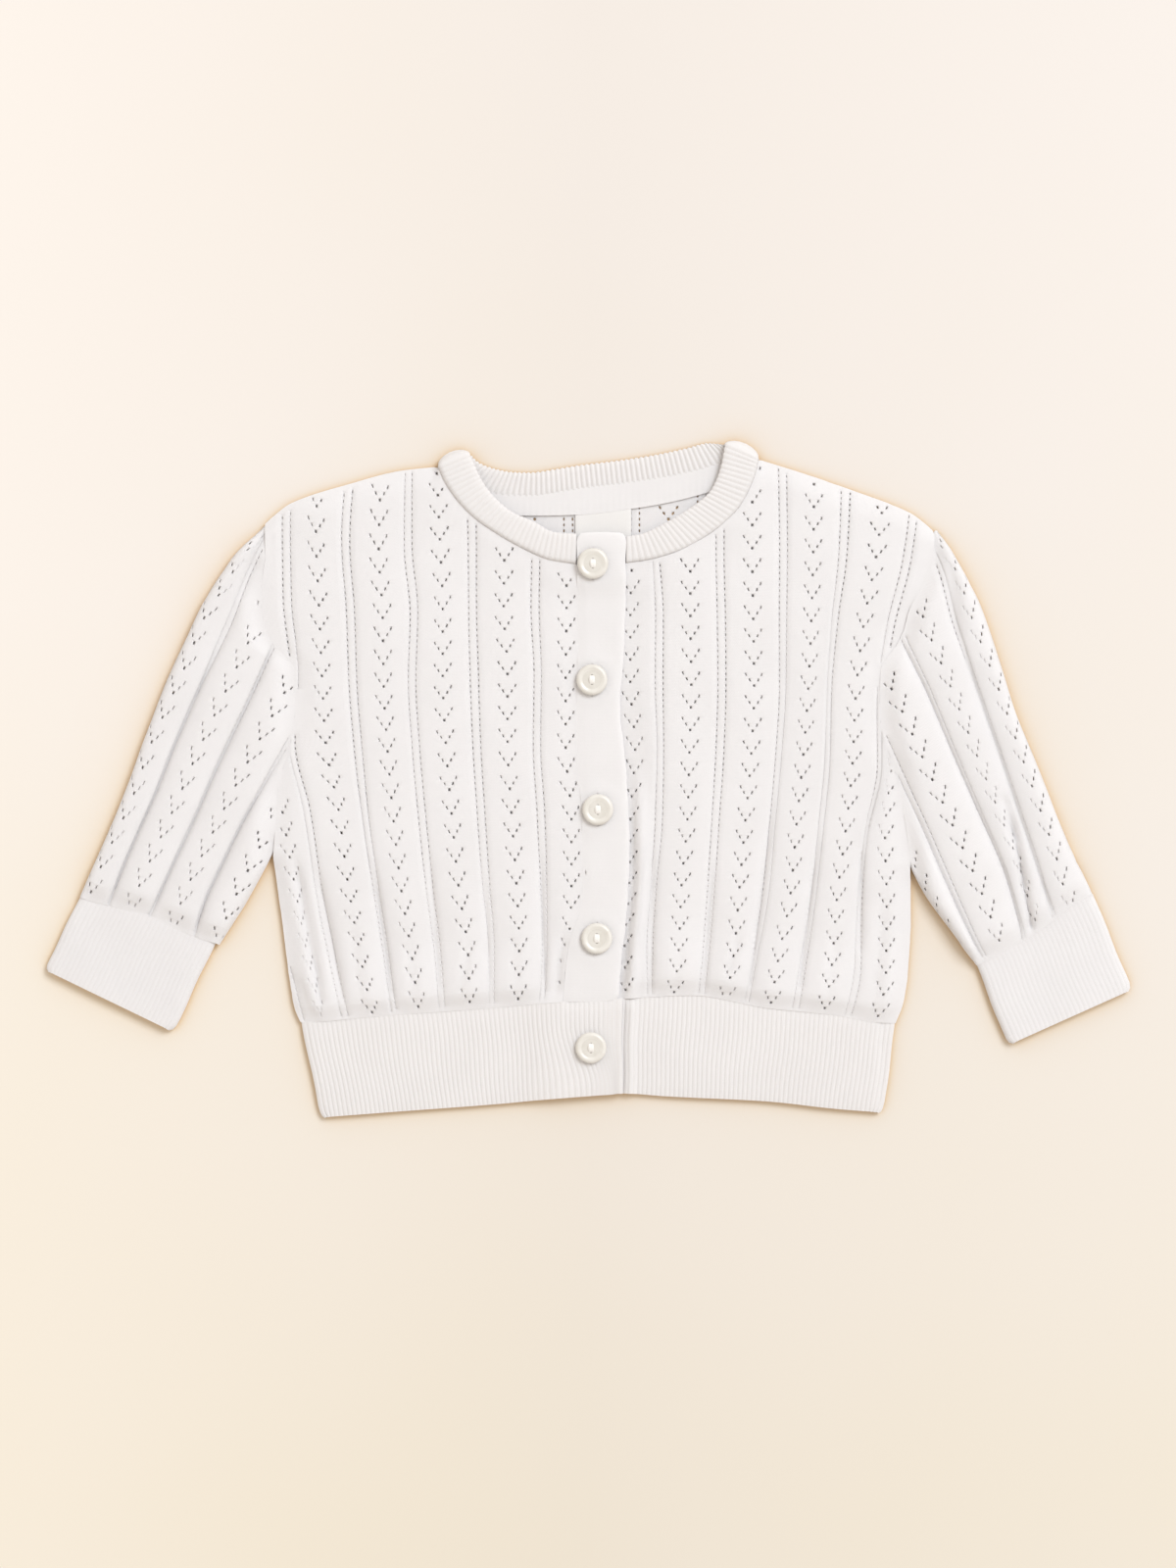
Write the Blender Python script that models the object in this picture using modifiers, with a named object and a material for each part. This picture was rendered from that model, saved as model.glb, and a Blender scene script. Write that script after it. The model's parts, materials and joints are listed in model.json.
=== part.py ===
"""Baby cardigan in fine cotton lace knit, buttoned up and laid flat on its back.

Each piece a maker would cut and link on is one object: lace panels, sleeves
and cuffs as flattened tubes, a ribbed hem in three pieces, a folded neckband,
two front bands, a neck tape, a label and five two-hole buttons.

Units: tables are in millimetres, the scene is in metres, +Z up. +X is the
wearer's left, +Y is towards the neck. The back rests on z = 0.
"""
import math

import bmesh
import bpy
from mathutils import Vector

# ---------------------------------------------------------------- sizes (mm)
MM = 0.001
SHIFT_X, SHIFT_Y = -0.2, -0.6    # brings the middle of the whole to x = y = 0

PANEL = 1.2          # wall of the lace knit
RIB = 1.4            # wall of the ribbed hem and cuffs
NECK_RIB = 2.0       # neckband, folded double
BAND = 1.2           # front bands
TAPE = 1.0           # neck tape and label
GAP = 0.3            # between pieces that are linked or lie on each other
CURVE_GAP = 0.5      # along the curved neck and hem seams, where the chords differ

BACK_Z = PANEL / 2                       # middle of the wall of the back
EDGE_Z = PANEL + GAP + PANEL / 2         # front, where it meets the back
BODY_Z = 3.9                             # front, over the hollow
ARM_Z = 3.2                              # the armhole seam lies in a trough
NECK_EDGE_Z = 4.3                        # front, at the neckband
BLOUSE = 1.9                             # how far the body stands over the hem
SIDE_ROUND = 10.0                        # width over which a front rounds down
FOLD_DEEP, FOLD_REACH = 0.9, 70.0        # soft troughs that run up from the hem

UNDER_BAND_Z = 2.1                       # button band, below the neck
OVER_BAND_Z = 3.6                        # buttonhole band, on it
NECK_LIFT = 1.3                          # both rise here at the thicker neck
LIFT_FROM, LIFT_TO = 72.0, 84.0
UNDER_BAND_WIDE = 18.0

HEM_Z = RIB + GAP + RIB / 2              # hem front over hem back
HEM_OVER_Z = HEM_Z + RIB + GAP           # where the right hem lies on the left

SLEEVE_LOW = PANEL / 2
SLEEVE_EDGE_Z = 2.5
VALLEY_Z = 3.3                           # bottom of a sleeve fold
PUFF = 3.3                               # how far the knit stands above it
CUFF_LOW, CUFF_TOP = RIB / 2, 3.3
CUFF_EDGE_Z = 2.0

NECK_LOW, NECK_HIGH = NECK_RIB / 2, 5.0  # neckband at the back, at the front

BUTTON_R, BUTTON_H = 6.35, 3.0
HOLE_R, HOLE_APART = 0.65, 3.2
HOLE_LONG, HOLE_WIDE = 13.5, 1.0         # buttonholes, upright


class Table:
    """Short table with named columns; the first column is the key."""

    def __init__(self, names, rows):
        self.names = names.split()
        self.rows = rows

    def col(self, name):
        k = self.names.index(name)
        return [r[k] for r in self.rows]

    def at(self, name, key):
        """Smooth value without overshoot between the rows."""
        xs, ys = self.col(self.names[0]), self.col(name)
        if xs[0] > xs[-1]:
            xs, ys = xs[::-1], ys[::-1]
        if key <= xs[0]:
            return ys[0]
        if key >= xs[-1]:
            return ys[-1]
        i = max(k for k in range(len(xs) - 1) if xs[k] <= key)
        d = [(ys[k + 1] - ys[k]) / (xs[k + 1] - xs[k]) for k in range(len(xs) - 1)]

        def slope(k):
            if k == 0:
                return d[0]
            if k == len(xs) - 1:
                return d[-1]
            if d[k - 1] * d[k] <= 0:
                return 0.0
            return 2 * d[k - 1] * d[k] / (d[k - 1] + d[k])

        h = xs[i + 1] - xs[i]
        t = (key - xs[i]) / h
        return ((1 + 2 * t) * (1 - t) ** 2 * ys[i] + t * (1 - t) ** 2 * h * slope(i)
                + t * t * (3 - 2 * t) * ys[i + 1] + t * t * (t - 1) * h * slope(i + 1))


def smooth(t):
    t = max(0.0, min(1.0, t))
    return t * t * (3 - 2 * t)


def rounded(t):
    return math.sin(max(0.0, min(1.0, t)) * math.pi / 2)


def mix(a, b, t):
    return a + (b - a) * t


# ------------------------------------------------------------ garment tables
# Sides of the body and armhole seams, from the hem up.
TORSO = Table("y right left", [
    (-99, -118.4, 126.6), (-80, -121.8, 130.3), (-60, -124.3, 131.6),
    (-45, -126.3, 131.5), (-31, -128.2, 131.0), (-20, -127.3, 129.6),
    (-5, -126.7, 127.0), (5, -124.2, 124.6), (15, -121.1, 121.1),
    (25, -119.6, 119.1), (36, -119.0, 118.8), (46, -119.4, 119.2),
    (50, -122.6, 121.8), (55, -128.2, 125.8), (61, -131.4, 128.6),
    (69, -133.0, 130.6), (79, -133.2, 135.8), (90, -131.4, 140.6),
    (103, -131.6, 141.2)])
ARMPIT = {"right": -28.0, "left": -33.5}
TIP = {"right": 102.8, "left": 100.4}     # shoulder tips

# Top edge of each front: the neckline, then the shoulder from the neck point.
NECKLINE = {
    "right": Table("x y", [(-61.0, 127.6), (-58.2, 120.8), (-51.4, 111.6),
                           (-45.6, 106.0), (-38.0, 100.8), (-30.4, 96.4),
                           (-23.2, 92.4), (-15.6, 89.6), (-4.0, 87.8)]),
    "left": Table("x y", [(14.0, 88.0), (24.8, 89.6), (34.8, 92.4), (42.4, 96.0),
                          (50.0, 100.4), (57.2, 106.4), (62.4, 112.4),
                          (66.8, 121.6), (69.4, 130.6)])}
SHOULDER = {
    "right": Table("x y", [(-133.0, 102.8), (-128.0, 107.5), (-120.8, 112.8),
                           (-96.4, 120.8), (-76.0, 126.0), (-61.0, 127.6)]),
    "left": Table("x y", [(69.4, 130.6), (90.4, 124.0), (107.6, 118.0),
                          (131.2, 108.8), (137.0, 104.6), (141.6, 100.4)])}
NECK_POINT = {"right": -61.0, "left": 69.4}
BACK_NECK = Table("x y", [(-61.0, 127.6), (-54.0, 122.4), (-45.0, 118.0),
                          (-34.0, 115.4), (-24.0, 115.0), (-3.0, 118.0),
                          (15.0, 120.2), (30.0, 122.4), (43.0, 125.0),
                          (56.0, 128.6), (69.4, 130.6)])

# Line along which the hem is linked to the body, and the hem's lower edge.
HEM_SEAM = Table("x y", [(-118.4, -99.0), (-108.0, -98.2), (-80.0, -95.6),
                         (-50.0, -93.6), (-14.0, -90.6), (17.0, -88.8),
                         (42.0, -87.6), (72.0, -92.6), (100.0, -95.6),
                         (118.0, -98.6), (126.6, -99.0)])
HEM_EDGE = Table("x y", [(-108.8, -137.4), (-80.0, -135.2), (-33.0, -131.6),
                         (0.0, -128.2), (14.0, -127.6), (32.0, -128.8),
                         (72.0, -130.8), (102.0, -134.0), (120.0, -135.4)])
HEM_SIDE = Table("part seam edge", [(0, -116.6, -108.8), (1, 125.0, 120.0)])

# Buttonhole band: its two edges, and the line of the buttons down it.
PLACKET = Table("y outer inner", [
    (100.2, -4.6, 15.4), (86, -5.2, 15.2), (55, -4.2, 14.6), (33, -6.8, 12.8),
    (10, -5.6, 14.6), (-10, -4.4, 16.2), (-36, -4.2, 16.6), (-52, -5.2, 15.6),
    (-66, -8.2, 14.2), (-90, -10.4, 12.0)])
BUTTONS = Table("y x", [(88.0, 2.0), (40.8, 1.6), (-12.0, 4.0), (-64.4, 3.6),
                        (-108.8, 1.2)])
BAND_TOP = 100.2

# Sleeves, along the arm (a, from the cuff seam) and across it from the outer
# edge. The folds are gathered in at the cuff; puffs stand between them.
SLEEVE = {
    "right": Table("a outer fold1 wale2 fold2 wale3 fold3 inner", [
        (0, 0.0, 12.0, 21.5, 29.0, 39.0, 49.5, 58.6),
        (25, -0.5, 10.3, 20.5, 28.6, 37.6, 46.6, 60.4),
        (50, -1.8, 9.8, 19.3, 28.5, 38.4, 46.8, 63.0),
        (75, -4.0, 8.4, 18.2, 27.9, 39.6, 48.4, 66.0),
        (100, -5.4, 7.8, 18.0, 28.1, 40.4, 50.5, 70.0),
        (125, -5.5, 7.9, 18.9, 27.7, 41.0, 52.0, 74.0),
        (150, -2.6, 6.0, 18.0, 27.5, 41.0, 52.0, 76.0),
        (168.5, 4.0, 6.0, 18.0, 27.5, 41.0, 52.0, 76.0)]),
    "left": Table("a outer fold1 wale2 fold2 wale3 fold3 inner", [
        (-9, 0.0, 18.8, 27.5, 34.0, 44.0, 51.0, 54.4),
        (0, 0.4, 18.4, 26.5, 32.4, 44.0, 52.4, 57.0),
        (25, 1.9, 16.8, 23.4, 30.2, 42.9, 53.8, 60.6),
        (50, 1.9, 15.4, 22.0, 31.1, 43.1, 54.6, 66.0),
        (75, 2.1, 14.1, 23.2, 31.9, 45.1, 55.8, 68.0),
        (100, 0.6, 12.9, 24.0, 32.4, 46.3, 57.0, 70.0),
        (125, -0.7, 11.4, 23.0, 34.0, 46.5, 58.0, 72.0),
        (150, 1.8, 8.6, 23.0, 34.0, 46.5, 58.0, 74.0),
        (161, 4.4, 8.6, 23.0, 34.0, 46.5, 58.0, 74.0)])}
SLEEVE_AT = {  # cuff corner, direction up the arm, side that "across" runs to
    "right": ((-206.8, -47.6), (0.425, 0.905), 1.0),
    "left": ((205.6, -46.4), (-0.370, 0.929), -1.0)}
CUFF_SEAM = {  # how far up the arm the cuff seam lies, across the arm
    "right": Table("n a", [(-6, 0), (0, 0), (15, 2.5), (28, 4.8), (48, 5.2),
                           (59, 6.6), (70, 7)]),
    "left": Table("n a", [(-6, 0), (0, 0), (28, -6.2), (36, -7.6), (54, -9.4),
                          (70, -10)])}
CUFF = {  # across the arm at the seam and at the opening, and the opening
    "right": Table("part outer inner a_outer a_inner", [
        (0, 0.4, 57.4, 0, 0), (1, -0.4, 57.2, -32.9, -33.6)]),
    "left": Table("part outer inner a_outer a_inner", [
        (0, 0.4, 54.0, 0, 0), (1, -0.4, 54.2, -42.0, -44.3)])}

# Neckband, a row for each section: its linked edge, its free edge, its height.
FRONT_RIGHT_NECK = Table("row sx sy fx fy z", [
    (0, -5.7, 87.9, -5.2, 100.4, 4.9), (1, -15.6, 89.6, -13.6, 101.0, 4.9),
    (2, -27.0, 94.5, -22.4, 105.4, 4.9), (3, -38.0, 100.8, -31.2, 109.4, 4.9),
    (4, -46.8, 107.1, -38.0, 115.2, 4.9), (5, -54.2, 115.0, -42.9, 121.6, 5.0),
    (6, -59.0, 122.6, -46.0, 128.0, 5.0), (7, -61.0, 127.4, -48.2, 133.0, 5.0)])
BACK_NECKBAND = Table("row sx sy fx fy z", [
    (0, -61.0, 127.4, -48.2, 133.0, 1.0), (1, -54.0, 122.4, -44.6, 129.6, 1.0),
    (2, -45.0, 118.0, -38.2, 127.0, 1.0), (3, -34.0, 115.4, -30.6, 125.6, 1.0),
    (4, -24.0, 115.0, -23.4, 125.4, 1.0), (5, -3.0, 118.0, -4.0, 128.3, 1.0),
    (6, 15.0, 120.2, 13.8, 130.5, 1.0), (7, 30.0, 122.4, 27.8, 132.7, 1.0),
    (8, 43.0, 125.0, 39.6, 135.2, 1.0), (9, 56.0, 128.6, 49.0, 137.4, 1.0),
    (10, 69.4, 130.6, 55.6, 136.8, 1.0)])
FRONT_LEFT_NECK = Table("row sx sy fx fy z", [
    (0, 69.4, 130.6, 55.6, 136.8, 5.0), (1, 68.6, 126.4, 54.6, 130.6, 5.0),
    (2, 66.4, 120.2, 53.0, 124.4, 5.0), (3, 62.0, 111.8, 49.6, 117.6, 4.9),
    (4, 56.0, 105.2, 44.4, 112.8, 4.7), (5, 47.5, 98.7, 37.0, 108.0, 4.4),
    (6, 36.5, 93.0, 29.0, 103.6, 4.1), (7, 25.5, 89.8, 22.0, 100.4, 3.9),
    (8, 16.0, 88.3, 15.9, 99.2, 3.9)])
FOLD_OUT = 1.2       # the neckband's turn stands this far past its last section
FOLD_CROWN = 2.6     # and its middle rises this much further, as a soft roll

NECK_TAPE = Table("x upper lower", [
    (-52, 121.0, 113.6), (-45, 118.0, 109.9), (-34, 115.4, 108.2),
    (-24, 115.0, 107.8), (-3, 118.0, 108.2), (15, 120.2, 110.2),
    (30, 122.4, 112.6), (43, 125.0, 115.6), (56, 128.6, 119.8),
    (62, 129.8, 122.6)])
LABEL = Table("y right left", [(92.0, -4.9, 17.4), (107.2, -5.1, 17.6)])

# -------------------------------------------------------------- Blender side
for old in list(bpy.data.objects):
    bpy.data.objects.remove(old, do_unlink=True)

garment = bpy.data.collections.new("baby_cardigan")
bpy.context.scene.collection.children.link(garment)


def material(name, colour, rough, sheen=0.0):
    m = bpy.data.materials.new(name)
    m.use_nodes = True
    bsdf = m.node_tree.nodes["Principled BSDF"]
    bsdf.inputs["Base Color"].default_value = (*colour, 1.0)
    bsdf.inputs["Roughness"].default_value = rough
    bsdf.inputs["Metallic"].default_value = 0.0
    bsdf.inputs["Sheen Weight"].default_value = sheen
    return m


KNIT = (0.86, 0.83, 0.80)
RIBBED = (0.83, 0.80, 0.77)
PLAIN = (0.88, 0.86, 0.84)
PEARL = (0.80, 0.75, 0.66)


def to_world(p):
    return Vector(((p[0] + SHIFT_X) * MM, (p[1] + SHIFT_Y) * MM, p[2] * MM))


def surface(name, grid, wall, colour, ring=False, skip=()):
    """Wall on a grid of middle points (rows of equal length)."""
    bm = bmesh.new()
    verts = [[bm.verts.new(to_world(p)) for p in row] for row in grid]
    cols = len(grid[0])
    for i in range(len(grid) - 1):
        for j in range(cols if ring else cols - 1):
            if (i, j) in skip:
                continue
            k = (j + 1) % cols
            bm.faces.new((verts[i][j], verts[i][k], verts[i + 1][k], verts[i + 1][j]))
    bmesh.ops.recalc_face_normals(bm, faces=bm.faces[:])
    if not ring:
        up = sum(f.normal.z * f.calc_area() for f in bm.faces)
        if up < 0:
            bmesh.ops.reverse_faces(bm, faces=bm.faces[:])
    mesh = bpy.data.meshes.new(name)
    bm.to_mesh(mesh)
    bm.free()
    obj = bpy.data.objects.new(name, mesh)
    garment.objects.link(obj)
    solid = obj.modifiers.new("wall", "SOLIDIFY")
    solid.thickness = wall * MM
    solid.offset = 0.0
    solid.use_even_offset = False
    mesh.materials.append(material(name + "_finish", colour, 0.9, 0.3))
    mesh.shade_smooth()
    return obj


# ------------------------------------------------------------------- sleeves
def arm_to_plan(side, a, n):
    (ox, oy), (dx, dy), sign = SLEEVE_AT[side]
    return (ox + dx * a + sign * dy * n, oy + dy * a - sign * dx * n)


def armhole_x(side, y):
    """Straight between the rows, so that body and sleeve share one line."""
    ys, xs = TORSO.col("y"), TORSO.col(side)
    for k in range(len(ys) - 1):
        if y <= ys[k + 1] or k == len(ys) - 2:
            return mix(xs[k], xs[k + 1], max(0.0, min(1.0, (y - ys[k]) / (ys[k + 1] - ys[k]))))


PUFF_STEPS = (0.14, 0.5, 0.86)


def sleeve_columns(side):
    """Lines that run up the arm: (kind, left line, right line, part)."""
    upper = [("edge", "outer", "outer", 0.0)]
    lines = ["outer", "fold1", "fold2", "fold3", "inner"]
    for k in range(4):
        for s in PUFF_STEPS:
            upper.append(("puff", lines[k], lines[k + 1], s))
        last = k == 3
        upper.append(("edge" if last else "fold", lines[k + 1], lines[k + 1], 0.0))
    lower = [("low", "outer", "inner", s) for s in (0.96, 0.8, 0.64, 0.48, 0.32, 0.16, 0.04)]
    return upper, lower


def line_n(side, col, a):
    t = SLEEVE[side]
    return mix(t.at(col[1], a), t.at(col[2], a), col[3])


def seam_a(side, col, reach):
    """Where a line crosses the cuff seam (reach 0) or the armhole (reach 1)."""
    table = SLEEVE[side]
    if reach == 0:
        a = 0.0
        for _ in range(6):
            a = CUFF_SEAM[side].at("a", line_n(side, col, a))
        return a
    sign = 1.0 if side == "right" else -1.0
    if col[1] == col[2] == "outer":
        return table.col("a")[-1]
    lo, hi = 20.0, table.col("a")[-1]
    steps = 400
    for k in range(steps + 1):
        a = mix(lo, hi, k / steps)
        x, y = arm_to_plan(side, a, line_n(side, col, a))
        if sign * (x - armhole_x(side, y)) >= 0 and y >= ARMPIT[side] - 0.01:
            return a
    return hi


def sleeve_grid(side):
    upper, lower = sleeve_columns(side)
    table = SLEEVE[side]
    ends = []
    for col in upper + lower:
        ends.append([seam_a(side, col, 0), seam_a(side, col, 1)])
    # the inner edge stops at the armpit, the outer edge at the shoulder tip
    (ox, oy), (dx, dy), sign = SLEEVE_AT[side]
    px, py = armhole_x(side, ARMPIT[side]), ARMPIT[side]
    pit = (px - ox) * dx + (py - oy) * dy
    pit_n = sign * ((px - ox) * dy - (py - oy) * dx)
    rows = []
    marks = [("c", 0.0), ("c", 1.6), ("c", 6.0), ("c", 13.0), ("f", 0.2), ("f", 0.4),
             ("f", 0.6), ("f", 0.8), ("e", 13.0), ("e", 6.0), ("e", 1.6), ("e", 0.0)]
    for kind, value in marks:
        row = []
        for col, (a0, a1) in zip(upper + lower, ends):
            a0 += GAP / 2
            if col[1] == col[2] == "inner":
                a1 = pit
            if col[0] == "edge":
                a1 -= 1.6
            if kind == "c":
                a = a0 + value
            elif kind == "e":
                a = a1 - value
            else:
                a = mix(a0 + 13.0, a1 - 13.0, value)
            if col[1] == col[2] == "inner":
                n = mix(line_n(side, col, min(a, 25.0)), pit_n, smooth(a / pit)) if a > 0 else line_n(side, col, a)
            else:
                n = line_n(side, col, a)
            from_cuff, from_arm = a - a0, a1 - a
            k = min(smooth(from_cuff / 13.0), smooth(from_arm / 15.0))
            if col[0] == "low":
                z = SLEEVE_LOW if kind != "c" or value > 2 else mix(CUFF_LOW, SLEEVE_LOW, value / 1.6)
                z = SLEEVE_LOW
            elif col[0] == "edge":
                z = SLEEVE_EDGE_Z - 0.3 + 0.3 * k
            else:
                seam = mix(CUFF_TOP, ARM_Z, smooth((a - a0) / max(1.0, a1 - a0)))
                if col[0] == "fold":
                    z = mix(seam, VALLEY_Z, k)
                else:
                    s = col[3]
                    lo = SLEEVE_EDGE_Z if col[1] == "outer" else VALLEY_Z
                    hi = SLEEVE_EDGE_Z if col[2] == "inner" else VALLEY_Z
                    dome = (4 * s * (1 - s)) ** 0.6
                    z = mix(seam, mix(lo, hi, s) + PUFF * dome, k)
            x, y = arm_to_plan(side, a, n)
            if kind == "e" and value < 2.0:
                x -= sign * GAP
            row.append((x, y, z))
        rows.append(row)
    return rows, len(upper)


SLEEVE_GRID = {s: sleeve_grid(s) for s in ("right", "left")}


def armhole_rows(side, layer):
    """Heights y at which the sleeve's lines end on the armhole."""
    grid, split = SLEEVE_GRID[side]
    end = grid[-1]
    pts = end[1:split - 1] if layer == "upper" else end[split:][::-1]
    return [TIP[side]] + [p[1] for p in pts] + [ARMPIT[side]]


for side in ("right", "left"):
    surface("sleeve_" + side, SLEEVE_GRID[side][0], PANEL, KNIT, ring=True)

# --------------------------------------------------------------------- cuffs
def cuff_grid(side):
    t = CUFF[side]
    rows = []
    for part in (0.0, 0.06, 0.5, 0.94, 1.0):
        o, i = mix(t.rows[0][1], t.rows[1][1], part), mix(t.rows[0][2], t.rows[1][2], part)
        loop = [(o, CUFF_EDGE_Z), (o + 0.6, CUFF_TOP - 0.35)]
        loop += [(mix(o + 2.2, i - 2.2, k / 5), CUFF_TOP) for k in range(6)]
        loop += [(i - 0.6, CUFF_TOP - 0.35), (i, CUFF_EDGE_Z), (i - 0.6, CUFF_LOW + 0.35)]
        loop += [(mix(i - 2.2, o + 2.2, k / 3), CUFF_LOW) for k in range(4)]
        loop += [(o + 0.6, CUFF_LOW + 0.35)]
        row = []
        for n, z in loop:
            top = CUFF_SEAM[side].at("a", n) - CURVE_GAP + GAP / 2
            end = mix(t.rows[1][3], t.rows[1][4], (n - t.rows[1][1]) / (t.rows[1][2] - t.rows[1][1]))
            x, y = arm_to_plan(side, mix(top, end, part), n)
            row.append((x, y, z))
        rows.append(row)
    return rows


for side in ("right", "left"):
    surface("cuff_" + side, cuff_grid(side), RIB, RIBBED, ring=True)

# -------------------------------------------------------------------- fronts
def hem_height(x):
    """Middle of the hem front's wall: the right hem lies on the left one."""
    return mix(HEM_OVER_Z, HEM_Z, smooth((-12.0 - x) / 18.0)) if x < 14.0 else HEM_Z


def top_edge(side, x):
    inner = x > NECK_POINT[side] if side == "right" else x < NECK_POINT[side]
    return (NECKLINE if inner else SHOULDER)[side].at("y", x)


def panel_top(side, x):
    """The panel stops short of the neckband, square to a steep neckline."""
    sign = -1.0 if side == "right" else 1.0
    inner = (x - NECK_POINT[side]) * sign <= 0.01
    if inner:
        return NECKLINE[side].at("y", x - sign * 0.45) - 0.3
    return SHOULDER[side].at("y", x)


def side_x(side, y):
    return armhole_x(side, y)


def band_lift(y):
    return NECK_LIFT * smooth((y - LIFT_FROM) / (LIFT_TO - LIFT_FROM))


def placket_x(side, y):
    if side == "right":
        return PLACKET.at("outer", y) - CURVE_GAP
    return PLACKET.at("inner", y) + CURVE_GAP


def front_height(side, x, y):
    sign = -1.0 if side == "right" else 1.0
    from_side = sign * (side_x(side, y) - x)
    from_top = top_edge(side, x) - y
    from_hem = y - HEM_SEAM.at("y", x)
    from_band = sign * (x - placket_x(side, y))
    # at the placket: level with the band that the panel is linked to
    band = (OVER_BAND_Z if side == "right" else UNDER_BAND_Z) + band_lift(y)
    z = mix(band, BODY_Z, smooth(from_band / 14.0))
    # folds run up from the hem on the ladder lines, a repeat of 25 mm apart
    fade = 1.0 - smooth(from_hem / FOLD_REACH)
    trough = 0.5 + 0.5 * math.cos(2 * math.pi * (sign * x + 8.0) / 24.5)
    z -= FOLD_DEEP * fade * trough * smooth(from_band / 10.0)
    # the body stands over the hem, then turns in to its seam
    z += (BLOUSE * smooth(from_hem / 8.0) * (1.0 - smooth((from_hem - 8.0) / 24.0))
          * smooth((from_band - 1.0) / 12.0))
    seam = hem_height(x) if side == "right" else HEM_Z
    z = mix(seam, z, rounded(from_hem / 7.0))
    # the neck edge rises to the neckband, the shoulder rounds down to the back
    neck = (x > NECK_POINT[side]) if side == "right" else (x < NECK_POINT[side])
    if neck:
        rise = NECK_EDGE_Z if side == "right" else mix(3.4, NECK_EDGE_Z, smooth((x - 16.0) / 30.0))
        z = mix(rise, z, smooth((from_top - 1.5) / 12.0))
    else:
        z = mix(EDGE_Z, z, rounded((from_top - 1.0) / SIDE_ROUND))
    # armhole seam in a trough, side seam down on the back
    if y > ARMPIT[side]:
        z = mix(min(z, ARM_Z), z, smooth((from_side - 1.2) / 8.0))
    else:
        k = rounded((from_side - 1.0) / SIDE_ROUND)
        low = mix(ARM_Z, EDGE_Z, smooth((ARMPIT[side] - y) / 10.0))
        z = mix(min(z, low), z, k)
    return z


def solve(f, lo, hi):
    for _ in range(40):
        mid = (lo + hi) / 2
        lo, hi = (mid, hi) if f(mid) > 0 else (lo, mid)
    return (lo + hi) / 2


def front_grid(side):
    sign = -1.0 if side == "right" else 1.0
    part = (NECK_POINT[side] - placket_x(side, 127)) / (side_x(side, 127) - placket_x(side, 127))
    across = [part * s for s in (0.0, 0.035, 0.2, 0.38, 0.55, 0.71, 0.84, 0.94, 1.0)]
    across += [mix(part, 1.0, s) for s in (0.12, 0.34, 0.56, 0.76, 0.9, 0.975, 1.0)]

    def plan_x(f, y):
        edge = side_x(side, y) - sign * GAP / 2
        return mix(placket_x(side, y), edge, f)

    columns = []
    for f in across:
        top = solve(lambda y: panel_top(side, plan_x(f, y)) - y, 60.0, 140.0)
        low = solve(lambda y: HEM_SEAM.at("y", plan_x(f, y)) - y, -110.0, -70.0)
        if f == 1.0:
            top = TIP[side]
        columns.append((f, low + GAP / 2, top))
    # rows follow the sleeve's lines on the armhole, then go on down the side
    low, top = columns[-1][1], columns[-1][2]
    ys = armhole_rows(side, "upper")
    ys = [y for k, y in enumerate(ys) if k == 0 or ys[k - 1] - y > 0.8]
    ys += [mix(ARMPIT[side], low, s) for s in (0.2, 0.4, 0.58, 0.74, 0.86, 0.94, 0.98, 1.0)]
    fractions = [(y - low) / (top - low) for y in ys]
    rows = []
    for v in fractions[::-1]:
        row = []
        for f, y0, y1 in columns:
            y = mix(y0, y1, v)
            x = plan_x(f, y)
            row.append((x, y, front_height(side, x, y)))
        rows.append(row)
    return rows


for side in ("right", "left"):
    surface("front_" + side, front_grid(side), PANEL, KNIT)

# ---------------------------------------------------------------------- back
def back_grid():
    right, left = NECK_POINT["right"], NECK_POINT["left"]

    def plan_x(f, y):
        return mix(side_x("right", y) + GAP / 2, side_x("left", y) - GAP / 2, f)

    def top_of(x):
        if x < right:
            return SHOULDER["right"].at("y", x)
        if x > left:
            return SHOULDER["left"].at("y", x)
        return BACK_NECK.at("y", x)

    f1 = (right - plan_x(0, 127)) / (plan_x(1, 127) - plan_x(0, 127))
    f2 = (left - plan_x(0, 127)) / (plan_x(1, 127) - plan_x(0, 127))
    across = [f1 * s for s in (0.0, 0.06, 0.25, 0.5, 0.8, 1.0)]
    across += [mix(f1, f2, s) for s in (0.055, 0.12, 0.2, 0.28, 0.44, 0.58, 0.7, 0.8, 0.9, 1.0)]
    across += [mix(f2, 1.0, s) for s in (0.2, 0.5, 0.75, 0.94, 1.0)]
    upper = {s: [y for y in armhole_rows(s, "lower")] for s in ("right", "left")}
    count = len(upper["right"])
    below = (0.3, 0.6, 0.85, 1.0)
    rows = []
    for k in range(count + len(below)):
        row = []
        for f in across:
            top = solve(lambda y: top_of(plan_x(f, y)) - y, 60.0, 145.0)
            low = solve(lambda y: HEM_SEAM.at("y", plan_x(f, y)) - y, -110.0, -70.0) + GAP / 2
            if f1 <= f <= f2:
                top -= CURVE_GAP
            if f == 0.0:
                low, top = -99.0 + GAP / 2, upper["right"][0]
            if f == 1.0:
                low, top = -99.0 + GAP / 2, upper["left"][0]
            v = []
            for s in ("right", "left"):
                tip, base = upper[s][0], -99.0 + GAP / 2
                y = upper[s][k] if k < count else mix(ARMPIT[s], base, below[k - count])
                v.append((y - base) / (tip - base))
            y = mix(low, top, mix(v[0], v[1], f))
            row.append((plan_x(f, y), y, BACK_Z))
        rows.append(row)
    return rows[::-1]


surface("back", back_grid(), PANEL, KNIT)

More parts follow.
